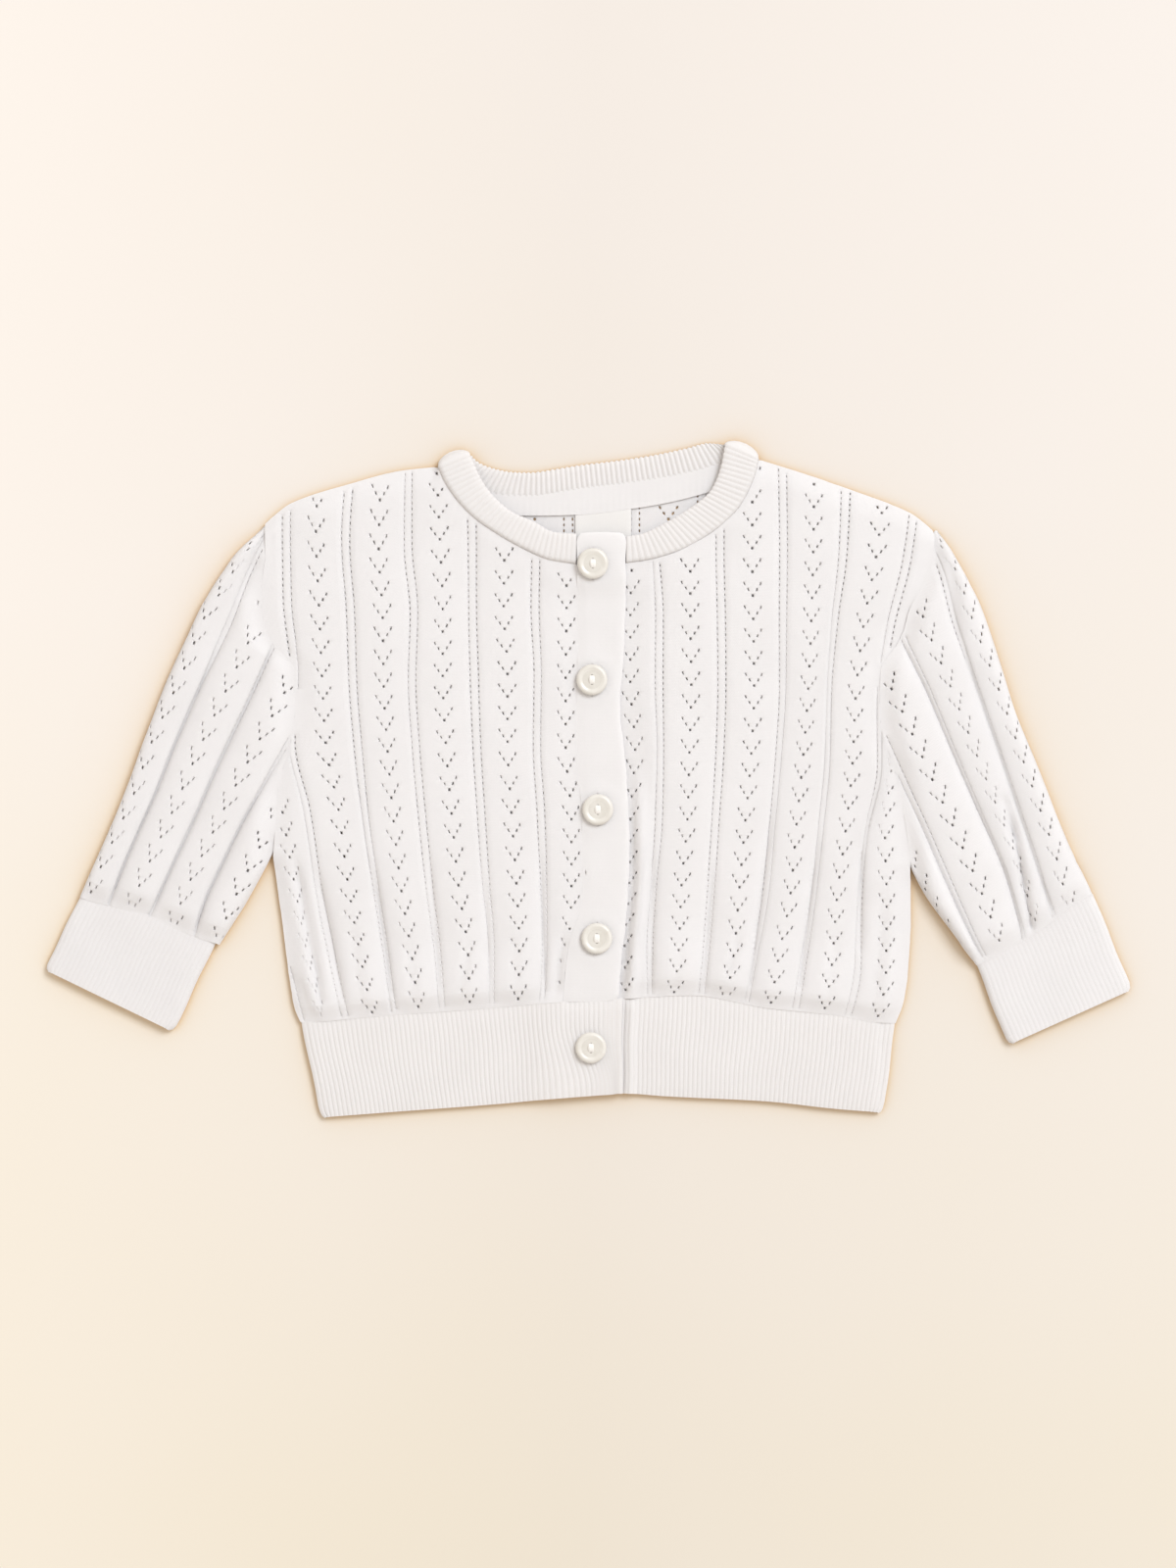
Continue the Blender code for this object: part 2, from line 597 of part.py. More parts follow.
# ----------------------------------------------------------------------- hem
def hem_grid(x_from, x_to, height, count):
    """Rib band between two plan positions at its seam, with its own edge line."""
    rows = []
    for v in (0.0, 0.05, 0.5, 0.95, 1.0):
        row = []
        for k in range(count + 1):
            s = k / count
            x0 = mix(x_from[0], x_to[0], s)
            x1 = mix(x_from[1], x_to[1], s)
            y0 = HEM_SEAM.at("y", x0) - CURVE_GAP + GAP / 2
            y1 = HEM_EDGE.at("y", x1)
            x = mix(x0, x1, v)
            row.append((x, mix(y0, y1, v), height(x)))
        rows.append(row)
    return rows


SIDE_R, SIDE_L = HEM_SIDE.rows[0][1:], HEM_SIDE.rows[1][1:]
surface("hem_back", hem_grid(SIDE_R, SIDE_L, lambda x: RIB / 2, 16), RIB, RIBBED)
surface("hem_front_left", hem_grid((-6.0, -6.0), SIDE_L, lambda x: HEM_Z, 9), RIB, RIBBED)


def hem_right_grid():
    """Right hem front; its last columns run past the buttonhole."""
    by, bx = BUTTONS.rows[4]
    xs0 = [mix(SIDE_R[0], -12.0, k / 9) for k in range(10)]
    xs1 = [mix(SIDE_R[1], -12.0, k / 9) for k in range(10)]
    xs0 += [-6.0, bx - HOLE_WIDE / 2, bx + HOLE_WIDE / 2, 12.5, 14.0]
    xs1 += [-6.0, bx - HOLE_WIDE / 2, bx + HOLE_WIDE / 2, 12.5, 14.0]
    top = HEM_SEAM.at("y", bx) - GAP / 2
    end = HEM_EDGE.at("y", bx)
    cuts = [0.0, 0.05, (top - (by + HOLE_LONG / 2)) / (top - end),
            (top - (by - HOLE_LONG / 2)) / (top - end), 0.95, 1.0]
    rows = []
    for v in cuts:
        row = []
        for x0, x1 in zip(xs0, xs1):
            x = mix(x0, x1, v)
            y = mix(HEM_SEAM.at("y", x0) - CURVE_GAP + GAP / 2, HEM_EDGE.at("y", x1), v)
            row.append((x, y, hem_height(min(x, 13.9))))
        rows.append(row)
    return rows, {(2, 11)}


grid, slit = hem_right_grid()
surface("hem_front_right", grid, RIB, RIBBED, skip=slit)

# --------------------------------------------------------------- front bands
def over_band_grid():
    marks = [(BAND_TOP, 0), (BAND_TOP - 1.6, 0)]
    for y, _x in BUTTONS.rows[:4]:
        marks += [(y + HOLE_LONG / 2, 1), (y - HOLE_LONG / 2, 0)]
    marks += [(y, 0) for y in (75, 67, 60, 28, 21, 14, 7, 1, -25, -32, -39, -45, -51)]
    marks += [(-75, 0), (-80, 0), (-85, 0), (-87.6, 0), (-89.0, 0)]
    marks.sort(key=lambda m: -m[0])
    rows, skip = [], set()
    for k, (y, opens) in enumerate(marks):
        tuck = 1.6 if y in (BAND_TOP, -89.0) else 0.0
        left, right = PLACKET.at("outer", y) + tuck, PLACKET.at("inner", y) - tuck
        mid = BUTTONS.at("x", y)
        z = OVER_BAND_Z + band_lift(y)
        row = [(left, y, z), (mid - HOLE_WIDE / 2, y, z),
               (mid + HOLE_WIDE / 2, y, z), (right, y, z)]
        if y < -86:    # the lower end follows the hem seam
            row = [(px, HEM_SEAM.at("y", px) + CURVE_GAP + (y + 89.0), pz)
                   for px, _y, pz in row]
        rows.append(row)
        if opens:
            skip.add((k, 1))
    return rows, skip


grid, slits = over_band_grid()
surface("buttonhole_band", grid, BAND, PLAIN, skip=slits)


def under_band_grid():
    rows = []
    for k in range(25):
        y = mix(BAND_TOP - 0.6, -87.6, k / 24)
        right = PLACKET.at("inner", y)
        z = UNDER_BAND_Z + band_lift(y)
        rows.append([(right - UNDER_BAND_WIDE, y, z), (right, y, z)])
    return rows


surface("button_band", under_band_grid(), BAND, PLAIN)

# ------------------------------------------------------------------ neckband
def neck_fold(row, low_z, high_z, outward, turn):
    """The band turns over at the neck point, from one layer to the other."""
    _, sx, sy, fx, fy, _z = row
    out = []
    for k in range(1, 5):
        ang = math.pi * k / 5
        push = FOLD_OUT * math.sin(ang)
        z = mix(high_z, low_z, (1 - math.cos(ang)) / 2)
        out.append(((sx + outward[0] * push, sy + outward[1] * push, z),
                    (fx + outward[0] * push, fy + outward[1] * push, z),
                    (outward, FOLD_CROWN * math.sin(ang))))
    return out if turn > 0 else out[::-1]


def neckband_grid():
    def sections(table, count):
        n = len(table.rows) - 1
        out = []
        for k in range(count + 1):
            t = n * k / count
            out.append(((table.at("sx", t), table.at("sy", t), table.at("z", t)),
                        (table.at("fx", t), table.at("fy", t), table.at("z", t)),
                        ((0, 0), 0)))
        return out

    parts = sections(FRONT_RIGHT_NECK, 10)
    parts += neck_fold(FRONT_RIGHT_NECK.rows[-1], NECK_LOW, NECK_HIGH, (-0.45, 0.89), 1)
    parts += sections(BACK_NECKBAND, 14)
    parts += neck_fold(FRONT_LEFT_NECK.rows[0], NECK_LOW, NECK_HIGH, (0.48, 0.88), -1)
    parts += sections(FRONT_LEFT_NECK, 11)
    rows = []
    for n, (s, f, (outward, crown)) in enumerate(parts):
        # sections next to a turn share in its crown
        for m in (n - 1, n + 1):
            if 0 <= m < len(parts) and parts[m][2][1] > crown:
                outward, crown = parts[m][2][0], max(crown, 0.4 * parts[m][2][1])
        length = math.dist(s[:2], f[:2])
        s = tuple(mix(s[k], f[k], 0.2 / length) for k in range(3))
        row = []
        for t in (0.0, 0.28, 0.62, 1.0):
            rise = crown * 4 * t * (1 - t)
            row.append((mix(s[0], f[0], t) + outward[0] * rise,
                        mix(s[1], f[1], t) + outward[1] * rise, mix(s[2], f[2], t)))
        rows.append(row)
    return rows


surface("neckband", neckband_grid(), NECK_RIB, RIBBED)

# ------------------------------------------------------------ tape and label
TAPE_Z = PANEL + GAP + TAPE / 2


def tape_grid():
    rows = []
    for k in range(15):
        x = mix(-52.0, 62.0, k / 14)
        up, down = NECK_TAPE.at("upper", x) - 0.9, NECK_TAPE.at("lower", x)
        rows.append([(x, up, TAPE_Z), (x, down, TAPE_Z)])
    return rows


surface("neck_tape", tape_grid(), TAPE, PLAIN)


def label_grid():
    xs = [mix(-5.1, 17.5, k / 3) for k in range(4)]
    return [[(x, 92.0, TAPE_Z) for x in xs],
            [(x, NECK_TAPE.at("lower", x) - 0.6, TAPE_Z) for x in xs]]


surface("label", label_grid(), TAPE, PLAIN)

# ------------------------------------------------------------------- buttons
PROFILE = Table("radius height", [
    (0.0, 1.7), (2.9, 1.75), (3.7, 2.1), (4.3, 2.75), (5.2, 3.0), (6.0, 2.65),
    (6.35, 1.7), (5.9, 0.7), (4.6, 0.1), (0.0, 0.0)])
BUTTON_SIDES = 20


def button_mesh():
    """Turned disc with a raised rim, a sunk middle and two thread holes."""
    bm = bmesh.new()
    verts = [bm.verts.new((r * MM, 0.0, h * MM)) for r, h in PROFILE.rows]
    for a, b in zip(verts, verts[1:]):
        bm.edges.new((a, b))
    mesh = bpy.data.meshes.new("button_profile")
    bm.to_mesh(mesh)
    bm.free()
    disc = bpy.data.objects.new("button_disc", mesh)
    garment.objects.link(disc)
    turn = disc.modifiers.new("turned", "SCREW")
    turn.axis = "Z"
    turn.angle = 2 * math.pi
    turn.steps = turn.render_steps = BUTTON_SIDES
    turn.use_merge_vertices = True
    turn.merge_threshold = 0.00005
    turn.use_normal_calculate = True
    cutters = []
    for s in (-1, 1):
        bm = bmesh.new()
        bmesh.ops.create_cone(bm, cap_ends=True, segments=10, radius1=HOLE_R * MM,
                              radius2=HOLE_R * MM, depth=8 * MM)
        bmesh.ops.translate(bm, verts=bm.verts[:], vec=(0, s * HOLE_APART / 2 * MM, 1.5 * MM))
        cm = bpy.data.meshes.new("thread_hole")
        bm.to_mesh(cm)
        bm.free()
        cutter = bpy.data.objects.new("thread_hole", cm)
        garment.objects.link(cutter)
        cut = disc.modifiers.new("hole", "BOOLEAN")
        cut.operation = "DIFFERENCE"
        cut.object = cutter
        cutters.append(cutter)
    bpy.context.view_layer.update()
    shape = bpy.data.meshes.new_from_object(
        disc.evaluated_get(bpy.context.evaluated_depsgraph_get()))
    for o in [disc] + cutters:
        bpy.data.objects.remove(o, do_unlink=True)
    shape.name = "button"
    shape.shade_smooth()
    shape.set_sharp_from_angle(angle=math.radians(50))
    return shape


shape = button_mesh()
for k, (y, x) in enumerate(BUTTONS.rows):
    button = bpy.data.objects.new("button_%d" % (k + 1), shape if k == 0 else shape.copy())
    button.data.materials.clear()
    button.data.materials.append(material("button_%d_finish" % (k + 1), PEARL, 0.25))
    if k < 4:
        rest = OVER_BAND_Z + band_lift(y) + BAND / 2 + GAP
    else:
        rest = HEM_OVER_Z + RIB / 2 + GAP
    button.location = to_world((x, y, rest))
    garment.objects.link(button)
bpy.context.view_layer.update()
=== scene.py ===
"""Looks of the baby cardigan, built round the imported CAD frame.

The cloth pieces are thin knitted sheets with real eyelets, laid out in fabric
coordinates (wales across, courses down) and placed on the form of their solids.
Tables are in millimetres in the part's own frame; the scene is in metres.
"""
import json
import math

import bpy
import numpy as np
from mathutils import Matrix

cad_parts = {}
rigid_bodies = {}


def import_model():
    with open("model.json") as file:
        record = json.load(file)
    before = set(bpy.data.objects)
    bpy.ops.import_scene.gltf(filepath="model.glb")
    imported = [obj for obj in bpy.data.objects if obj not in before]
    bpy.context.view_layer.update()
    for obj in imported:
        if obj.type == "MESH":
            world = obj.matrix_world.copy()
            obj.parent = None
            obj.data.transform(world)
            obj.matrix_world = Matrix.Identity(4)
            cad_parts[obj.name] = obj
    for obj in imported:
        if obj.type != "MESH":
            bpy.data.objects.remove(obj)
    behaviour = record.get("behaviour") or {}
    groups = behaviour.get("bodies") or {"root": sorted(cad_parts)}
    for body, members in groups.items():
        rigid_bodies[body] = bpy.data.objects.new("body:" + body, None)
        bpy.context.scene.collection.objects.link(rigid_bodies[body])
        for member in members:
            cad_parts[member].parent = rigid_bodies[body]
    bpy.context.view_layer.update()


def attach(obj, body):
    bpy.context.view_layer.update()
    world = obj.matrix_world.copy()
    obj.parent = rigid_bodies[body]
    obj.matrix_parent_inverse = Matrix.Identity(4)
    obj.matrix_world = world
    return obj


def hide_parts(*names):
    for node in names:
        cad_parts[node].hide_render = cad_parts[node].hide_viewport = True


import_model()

MM = 0.001
SHIFT_X, SHIFT_Y = -0.2, -0.6

# ------------------------------------------------------------ the part's sizes
BAND, TAPE, GAP, CURVE_GAP = 1.2, 1.0, 0.3, 0.5
EDGE_Z, BODY_Z, ARM_Z, NECK_EDGE_Z = 2.1, 3.9, 3.2, 4.3
BLOUSE, SIDE_ROUND = 1.5, 10.0
FOLD_DEEP, FOLD_REACH = 0.9, 70.0
UNDER_BAND_Z, OVER_BAND_Z = 2.1, 3.6
NECK_LIFT, LIFT_FROM, LIFT_TO = 1.3, 72.0, 84.0
HEM_Z, HEM_OVER_Z = 2.4, 4.1
CUFF_LOW, CUFF_TOP, CUFF_EDGE_Z = 0.7, 3.3, 2.0
NECK_LOW, NECK_HIGH = 1.0, 5.0
FOLD_OUT, FOLD_CROWN = 0.4, 2.3      # to the middle of the wall
HOLE_LONG = 13.5

CLOTH = 0.8          # wall of the lace knit as shown
RIB_WALL = 1.1
THROUGH = 0.25       # share of light that fine cotton lets through
V_WIDE, V_TALL = 25.0, 9.5       # one repeat of the lace


class Table:
    """Short table with named columns; the first column is the key."""

    def __init__(self, names, rows):
        self.names = names.split()
        self.rows = np.array(rows, float)

    def col(self, name):
        return self.rows[:, self.names.index(name)]

    def at(self, name, key):
        """Smooth value without overshoot between the rows."""
        xs, ys = self.col(self.names[0]), self.col(name)
        return hermite(xs, ys, key)


def hermite(xs, ys, key):
    if xs[0] > xs[-1]:
        xs, ys = xs[::-1], ys[::-1]
    key = np.clip(np.asarray(key, float), xs[0], xs[-1])
    i = np.clip(np.searchsorted(xs, key, side="right") - 1, 0, len(xs) - 2)
    d = np.diff(ys) / np.diff(xs)
    m = np.empty(len(xs))
    m[0], m[-1] = d[0], d[-1]
    if len(xs) > 2:
        both = d[:-1] * d[1:]
        total = np.where(np.abs(d[:-1] + d[1:]) < 1e-12, 1.0, d[:-1] + d[1:])
        m[1:-1] = np.where(both > 0, 2 * both / total, 0.0)
    h = xs[i + 1] - xs[i]
    t = (key - xs[i]) / h
    return ((1 + 2 * t) * (1 - t) ** 2 * ys[i] + t * (1 - t) ** 2 * h * m[i]
            + t * t * (3 - 2 * t) * ys[i + 1] + t * t * (t - 1) * h * m[i + 1])


def run_on(xs, ys, key):
    """hermite, going straight on past both ends."""
    key = np.asarray(key, float)
    d0 = (ys[1] - ys[0]) / (xs[1] - xs[0])
    d1 = (ys[-1] - ys[-2]) / (xs[-1] - xs[-2])
    return (hermite(xs, ys, key) + np.minimum(key - xs[0], 0) * d0
            + np.maximum(key - xs[-1], 0) * d1)


def smooth(t):
    t = np.clip(t, 0.0, 1.0)
    return t * t * (3 - 2 * t)


def rounded(t):
    return np.sin(np.clip(t, 0.0, 1.0) * np.pi / 2)


def mix(a, b, t):
    return a + (b - a) * t


def bell(t):
    return np.exp(-np.square(t))


TORSO = Table("y right left", [
    (-99, -117.0, 125.4), (-97, -118.0, 126.2), (-94, -119.2, 127.4), (-90, -120.2, 128.6),
    (-80, -121.8, 130.3), (-60, -124.3, 131.6),
    (-45, -126.3, 131.5), (-31, -128.2, 131.0), (-20, -127.3, 129.6),
    (-5, -126.7, 127.0), (5, -124.2, 124.6), (15, -121.1, 121.1),
    (25, -119.6, 119.1), (36, -119.0, 118.8), (46, -119.4, 119.2),
    (50, -122.6, 121.8), (55, -128.2, 125.8), (61, -131.4, 128.6),
    (69, -133.0, 130.6), (79, -133.2, 135.8), (90, -131.4, 140.6),
    (103, -131.6, 141.2)])
ARMPIT = {"right": -28.0, "left": -33.5}
TIP = {"right": 102.8, "left": 100.4}
NECKLINE = {
    "right": Table("x y", [(-61.0, 127.6), (-58.2, 120.8), (-51.4, 111.6),
                           (-45.6, 106.0), (-38.0, 100.8), (-30.4, 96.4),
                           (-23.2, 92.4), (-15.6, 89.6), (-4.0, 87.8)]),
    "left": Table("x y", [(14.0, 88.0), (24.8, 89.6), (34.8, 92.4), (42.4, 96.0),
                          (50.0, 100.4), (57.2, 106.4), (62.4, 112.4),
                          (66.8, 121.6), (69.4, 130.6)])}
SHOULDER = {
    "right": Table("x y", [(-133.0, 102.8), (-128.0, 107.5), (-120.8, 112.8),
                           (-96.4, 120.8), (-76.0, 126.0), (-61.0, 127.6)]),
    "left": Table("x y", [(69.4, 130.6), (90.4, 124.0), (107.6, 118.0),
                          (131.2, 108.8), (137.0, 104.6), (141.6, 100.4)])}
NECK_POINT = {"right": -61.0, "left": 69.4}
BACK_NECK = Table("x y", [(-61.0, 127.6), (-54.0, 122.4), (-45.0, 118.0),
                          (-34.0, 115.4), (-24.0, 115.0), (-3.0, 118.0),
                          (15.0, 120.2), (30.0, 122.4), (43.0, 125.0),
                          (56.0, 128.6), (69.4, 130.6)])
HEM_SEAM = Table("x y", [(-118.4, -99.0), (-108.0, -98.2), (-80.0, -95.6),
                         (-50.0, -93.6), (-14.0, -90.6), (17.0, -88.8),
                         (42.0, -87.6), (72.0, -92.6), (100.0, -95.6),
                         (118.0, -98.6), (126.6, -99.0)])
HEM_EDGE = Table("x y", [(-108.8, -137.4), (-80.0, -135.2), (-33.0, -131.6),
                         (0.0, -128.2), (14.0, -127.6), (32.0, -128.8),
                         (72.0, -130.8), (102.0, -134.0), (120.0, -135.4)])
HEM_SIDE = {"right": (-116.6, -108.8), "left": (125.0, 120.0)}
PLACKET = Table("y outer inner", [
    (100.2, -4.6, 15.4), (86, -4.5, 15.2), (55, -4.1, 14.6), (33, -4.7, 12.8),
    (10, -4.6, 14.6), (-10, -2.8, 16.2), (-36, -2.2, 16.6), (-50, -2.6, 15.8),
    (-58, -4.8, 15.0), (-66, -7.6, 14.2), (-90, -10.4, 12.0)])
BUTTONS = Table("y x", [(88.0, 2.0), (40.8, 1.6), (-12.0, 4.0), (-64.4, 3.6),
                        (-108.8, 1.2)])
BAND_TOP = 100.2
SLEEVE = {
    "right": Table("a outer fold1 wale2 fold2 wale3 fold3 inner", [
        (0, 0.0, 12.0, 21.5, 29.0, 39.0, 49.5, 58.6),
        (25, -0.5, 10.3, 20.5, 28.6, 37.6, 46.6, 60.4),
        (50, -1.8, 9.8, 19.3, 28.5, 38.4, 46.8, 63.0),
        (75, -4.0, 8.4, 18.2, 27.9, 39.6, 48.4, 66.0),
        (100, -5.4, 7.8, 18.0, 28.1, 40.4, 50.5, 70.0),
        (125, -5.5, 7.9, 18.9, 27.7, 41.0, 52.0, 74.0),
        (150, -2.6, 6.0, 18.0, 27.5, 41.0, 52.0, 76.0),
        (168.5, 4.0, 6.0, 18.0, 27.5, 41.0, 52.0, 76.0)]),
    "left": Table("a outer fold1 wale2 fold2 wale3 fold3 inner", [
        (-9, 0.0, 18.8, 27.5, 34.0, 44.0, 51.0, 54.4),
        (0, 0.4, 18.4, 26.5, 32.4, 44.0, 52.4, 57.0),
        (25, 1.9, 16.8, 23.4, 30.2, 42.9, 53.8, 60.6),
        (50, 1.9, 15.4, 22.0, 31.1, 43.1, 54.6, 66.0),
        (75, 2.1, 14.1, 23.2, 31.9, 45.1, 55.8, 68.0),
        (100, 0.6, 12.9, 24.0, 32.4, 46.3, 57.0, 70.0),
        (125, -0.7, 11.4, 23.0, 34.0, 46.5, 58.0, 72.0),
        (150, 1.8, 8.6, 23.0, 34.0, 46.5, 58.0, 74.0),
        (161, 4.4, 8.6, 23.0, 34.0, 46.5, 58.0, 74.0)])}
WALE_1 = {  # the lace column nearest each sleeve's outer edge
    "right": Table("a n", [(5, 3.3), (16, 2.7), (41, 2.6), (71, -0.2), (103, -0.9),
                           (125, -2.3), (141, 0.4)]),
    "left": Table("a n", [(10, 10.3), (21, 8.6), (41, 7.6), (72, 6.2), (93, 5.2),
                          (117, 4.9), (138, 3.4)])}
SLEEVE_AT = {
    "right": ((-206.8, -47.6), (0.425, 0.905), 1.0),
    "left": ((205.6, -46.4), (-0.370, 0.929), -1.0)}
CUFF_SEAM = {
    "right": Table("n a", [(-6, 0), (0, 0), (15, 2.5), (28, 4.8), (48, 5.2),
                           (59, 6.6), (70, 7)]),
    "left": Table("n a", [(-6, 0), (0, 0), (28, -6.2), (36, -7.6), (54, -9.4),
                          (70, -10)])}
CUFF = {
    "right": Table("part outer inner a_outer a_inner", [
        (0, 0.4, 57.4, 0, 0), (1, -0.4, 57.2, -32.9, -33.6)]),
    "left": Table("part outer inner a_outer a_inner", [
        (0, 0.4, 54.0, 0, 0), (1, -0.4, 54.2, -42.0, -44.3)])}
FRONT_RIGHT_NECK = Table("row sx sy fx fy z", [
    (0, -4.9, 87.9, -4.7, 100.3, 4.9), (1, -15.6, 89.6, -13.6, 101.0, 4.9),
    (2, -27.0, 94.5, -22.4, 105.4, 4.9), (3, -38.0, 100.8, -31.2, 109.4, 4.9),
    (4, -46.8, 107.1, -38.0, 115.2, 4.9), (5, -54.2, 115.0, -42.9, 121.6, 5.0),
    (6, -59.0, 122.6, -46.0, 128.0, 5.0), (7, -61.0, 127.4, -48.2, 133.0, 5.0)])
BACK_NECKBAND = Table("row sx sy fx fy z", [
    (0, -61.0, 127.4, -48.2, 133.0, 1.0), (1, -54.0, 122.4, -44.6, 129.6, 1.0),
    (2, -45.0, 118.0, -38.2, 127.0, 1.0), (3, -34.0, 115.4, -30.6, 125.6, 1.0),
    (4, -24.0, 115.0, -23.4, 125.4, 1.0), (5, -3.0, 118.0, -4.0, 128.3, 1.0),
    (6, 15.0, 120.2, 13.8, 130.5, 1.0), (7, 30.0, 122.4, 27.8, 132.7, 1.0),
    (8, 43.0, 125.0, 39.6, 135.2, 1.0), (9, 56.0, 128.6, 49.0, 137.4, 1.0),
    (10, 69.4, 130.6, 55.6, 136.8, 1.0)])
FRONT_LEFT_NECK = Table("row sx sy fx fy z", [
    (0, 69.4, 130.6, 55.6, 136.8, 5.0), (1, 68.6, 126.4, 54.6, 130.6, 5.0),
    (2, 66.4, 120.2, 53.0, 124.4, 5.0), (3, 62.0, 111.8, 49.6, 117.6, 4.9),
    (4, 56.0, 105.2, 44.4, 112.8, 4.7), (5, 47.5, 98.7, 37.0, 108.0, 4.4),
    (6, 36.5, 93.0, 29.0, 103.6, 4.1), (7, 25.5, 89.8, 22.0, 100.4, 3.9),
    (8, 15.5, 88.3, 15.6, 99.2, 3.9)])
NECK_TAPE = Table("x upper lower", [
    (-52, 121.0, 113.6), (-45, 118.0, 109.9), (-34, 115.4, 108.2),
    (-24, 115.0, 107.8), (-3, 118.0, 108.2), (15, 120.2, 110.2),
    (30, 122.4, 112.6), (43, 125.0, 115.6), (56, 128.6, 119.8),
    (62, 129.8, 122.6)])

# ---------------------------------------------------- how the lace lies on it
# Where the lace columns lie on each front, course by course: x and y of each
# column of V motifs, then x of the pairs of ladders between them.
MOTIFS = {
    "right": Table("course x0 y0 x1 y1 x2 y2 x3 y3 x4 y4 x5 y5", [
        (-12, -135.2, 136.4, -109.2, 132.4, -84.4, 124.0, -61.6, 124.8, -34.0, 127.2, -8.4, 125.6),
        (-9, -136.0, 106.4, -110.8, 101.2, -85.2, 94.0, -60.4, 98.0, -34.0, 98.8, -8.8, 97.2),
        (-6, -136.0, 76.4, -109.6, 71.2, -83.6, 66.0, -59.2, 69.6, -34.4, 70.8, -8.8, 70.0),
        (-3, -133.6, 44.4, -108.4, 42.4, -83.2, 38.0, -59.2, 42.4, -32.8, 43.2, -9.2, 41.6),
        (0, -129.2, 15.2, -106.8, 15.2, -81.6, 11.6, -58.0, 15.2, -32.8, 15.6, -9.2, 13.2),
        (3, -124.4, -13.2, -101.6, -12.0, -79.2, -16.8, -55.6, -13.6, -31.2, -13.2, -6.8, -16.0),
        (6, -120.0, -40.4, -98.0, -40.4, -76.0, -45.2, -52.8, -42.8, -29.2, -42.0, -6.8, -43.2),
        (9, -115.2, -67.6, -93.6, -66.8, -71.6, -72.8, -48.8, -71.2, -28.0, -69.6, -8.0, -69.2),
        (12, -108.8, -95.2, -88.0, -94.4, -68.0, -102.0, -48.0, -99.6, -28.8, -98.8, -9.2, -95.2)]),
    "left": Table("course x0 y0 x1 y1 x2 y2 x3 y3 x4 y4 x5 y5", [
        (-12, 18.0, 121.6, 41.6, 121.6, 66.8, 122.4, 92.0, 120.4, 120.8, 117.6, 146.0, 114.4),
        (-9, 18.0, 94.4, 41.6, 94.0, 66.8, 94.4, 91.6, 92.8, 117.2, 90.8, 142.0, 86.4),
        (-6, 17.2, 67.2, 41.6, 66.8, 67.2, 65.6, 90.8, 64.8, 112.0, 62.4, 136.0, 58.4),
        (-3, 17.2, 40.0, 42.0, 38.8, 67.6, 38.4, 89.6, 37.2, 108.8, 33.2, 128.8, 29.6),
        (0, 19.2, 12.4, 41.2, 11.2, 66.4, 10.8, 87.6, 10.4, 107.6, 6.8, 123.2, 3.6),
        (3, 17.2, -16.0, 40.4, -16.0, 64.0, -16.4, 84.8, -18.0, 104.8, -20.8, 120.8, -23.6),
        (6, 16.8, -42.0, 38.0, -42.8, 61.6, -43.6, 82.4, -46.0, 101.2, -48.8, 121.6, -51.6),
        (9, 14.8, -67.6, 36.8, -69.2, 59.2, -71.6, 77.2, -73.6, 99.2, -75.2, 121.2, -78.4),
        (12, 16.0, -94.4, 34.0, -94.8, 54.0, -97.6, 73.2, -98.8, 94.8, -101.6, 116.0, -104.8)])}
LADDERS = {
    "right": Table("course p0 p1 p2 p3 p4 p5", [
        (-12, -122.0, -96.8, -73.2, -48.0, -21.6, 4.0),
        (-9, -122.8, -98.8, -73.4, -47.2, -21.2, 3.6),
        (-6, -122.4, -96.8, -70.8, -47.1, -21.6, 3.6),
        (-3, -119.2, -95.8, -71.8, -46.4, -20.4, 3.2),
        (0, -121.2, -93.6, -70.2, -45.4, -20.8, 3.2),
        (3, -114.8, -90.8, -67.6, -43.6, -19.2, 4.8),
        (6, -110.4, -86.4, -64.6, -41.7, -18.2, 4.8),
        (9, -104.8, -82.4, -61.4, -39.6, -17.6, 4.0),
        (12, -98.8, -78.8, -59.2, -39.6, -19.2, 2.8)]),
    "left": Table("course p0 p1 p2 p3 p4 p5", [
        (-12, 27.2, 53.6, 79.2, 104.8, 133.6, 158.4),
        (-9, 27.2, 53.6, 79.6, 103.6, 129.6, 154.0),
        (-6, 29.0, 54.2, 79.4, 100.0, 122.4, 148.0),
        (-3, 28.8, 54.4, 79.4, 97.8, 118.8, 138.0),
        (0, 29.2, 53.6, 77.8, 97.4, 119.2, 134.0),
        (3, 28.8, 51.8, 75.4, 94.8, 113.2, 132.0),
        (6, 26.6, 50.2, 72.8, 92.0, 110.4, 132.0),
        (9, 25.0, 48.0, 68.0, 87.4, 109.6, 132.0),
        (12, 25.2, 45.6, 62.8, 83.2, 103.6, 128.8)])}
# On a sleeve the first motif of a column lies this far up the arm, and the
# next ones a step apart.
SLEEVE_COURSES = {
    "right": Table("u start step", [(-75, 3.9, 10.6), (0, 3.9, 10.95), (25, 3.9, 10.8),
                                    (50, 4.6, 10.6), (75, 7.1, 10.6), (100, 7.1, 10.6)]),
    "left": Table("u start step", [(-75, -1.9, 10.4), (0, -1.9, 10.4), (25, -0.8, 10.1),
                                   (50, -3.2, 10.1), (75, -3.2, 10.1), (100, -3.2, 10.1)])}
# How far past the middle of its pair of ladders the cloth turns in each valley.
VALLEY_OFF = {"right": (0.6, 0.6, 0.6), "left": (0.7, 1.5, 1.5)}

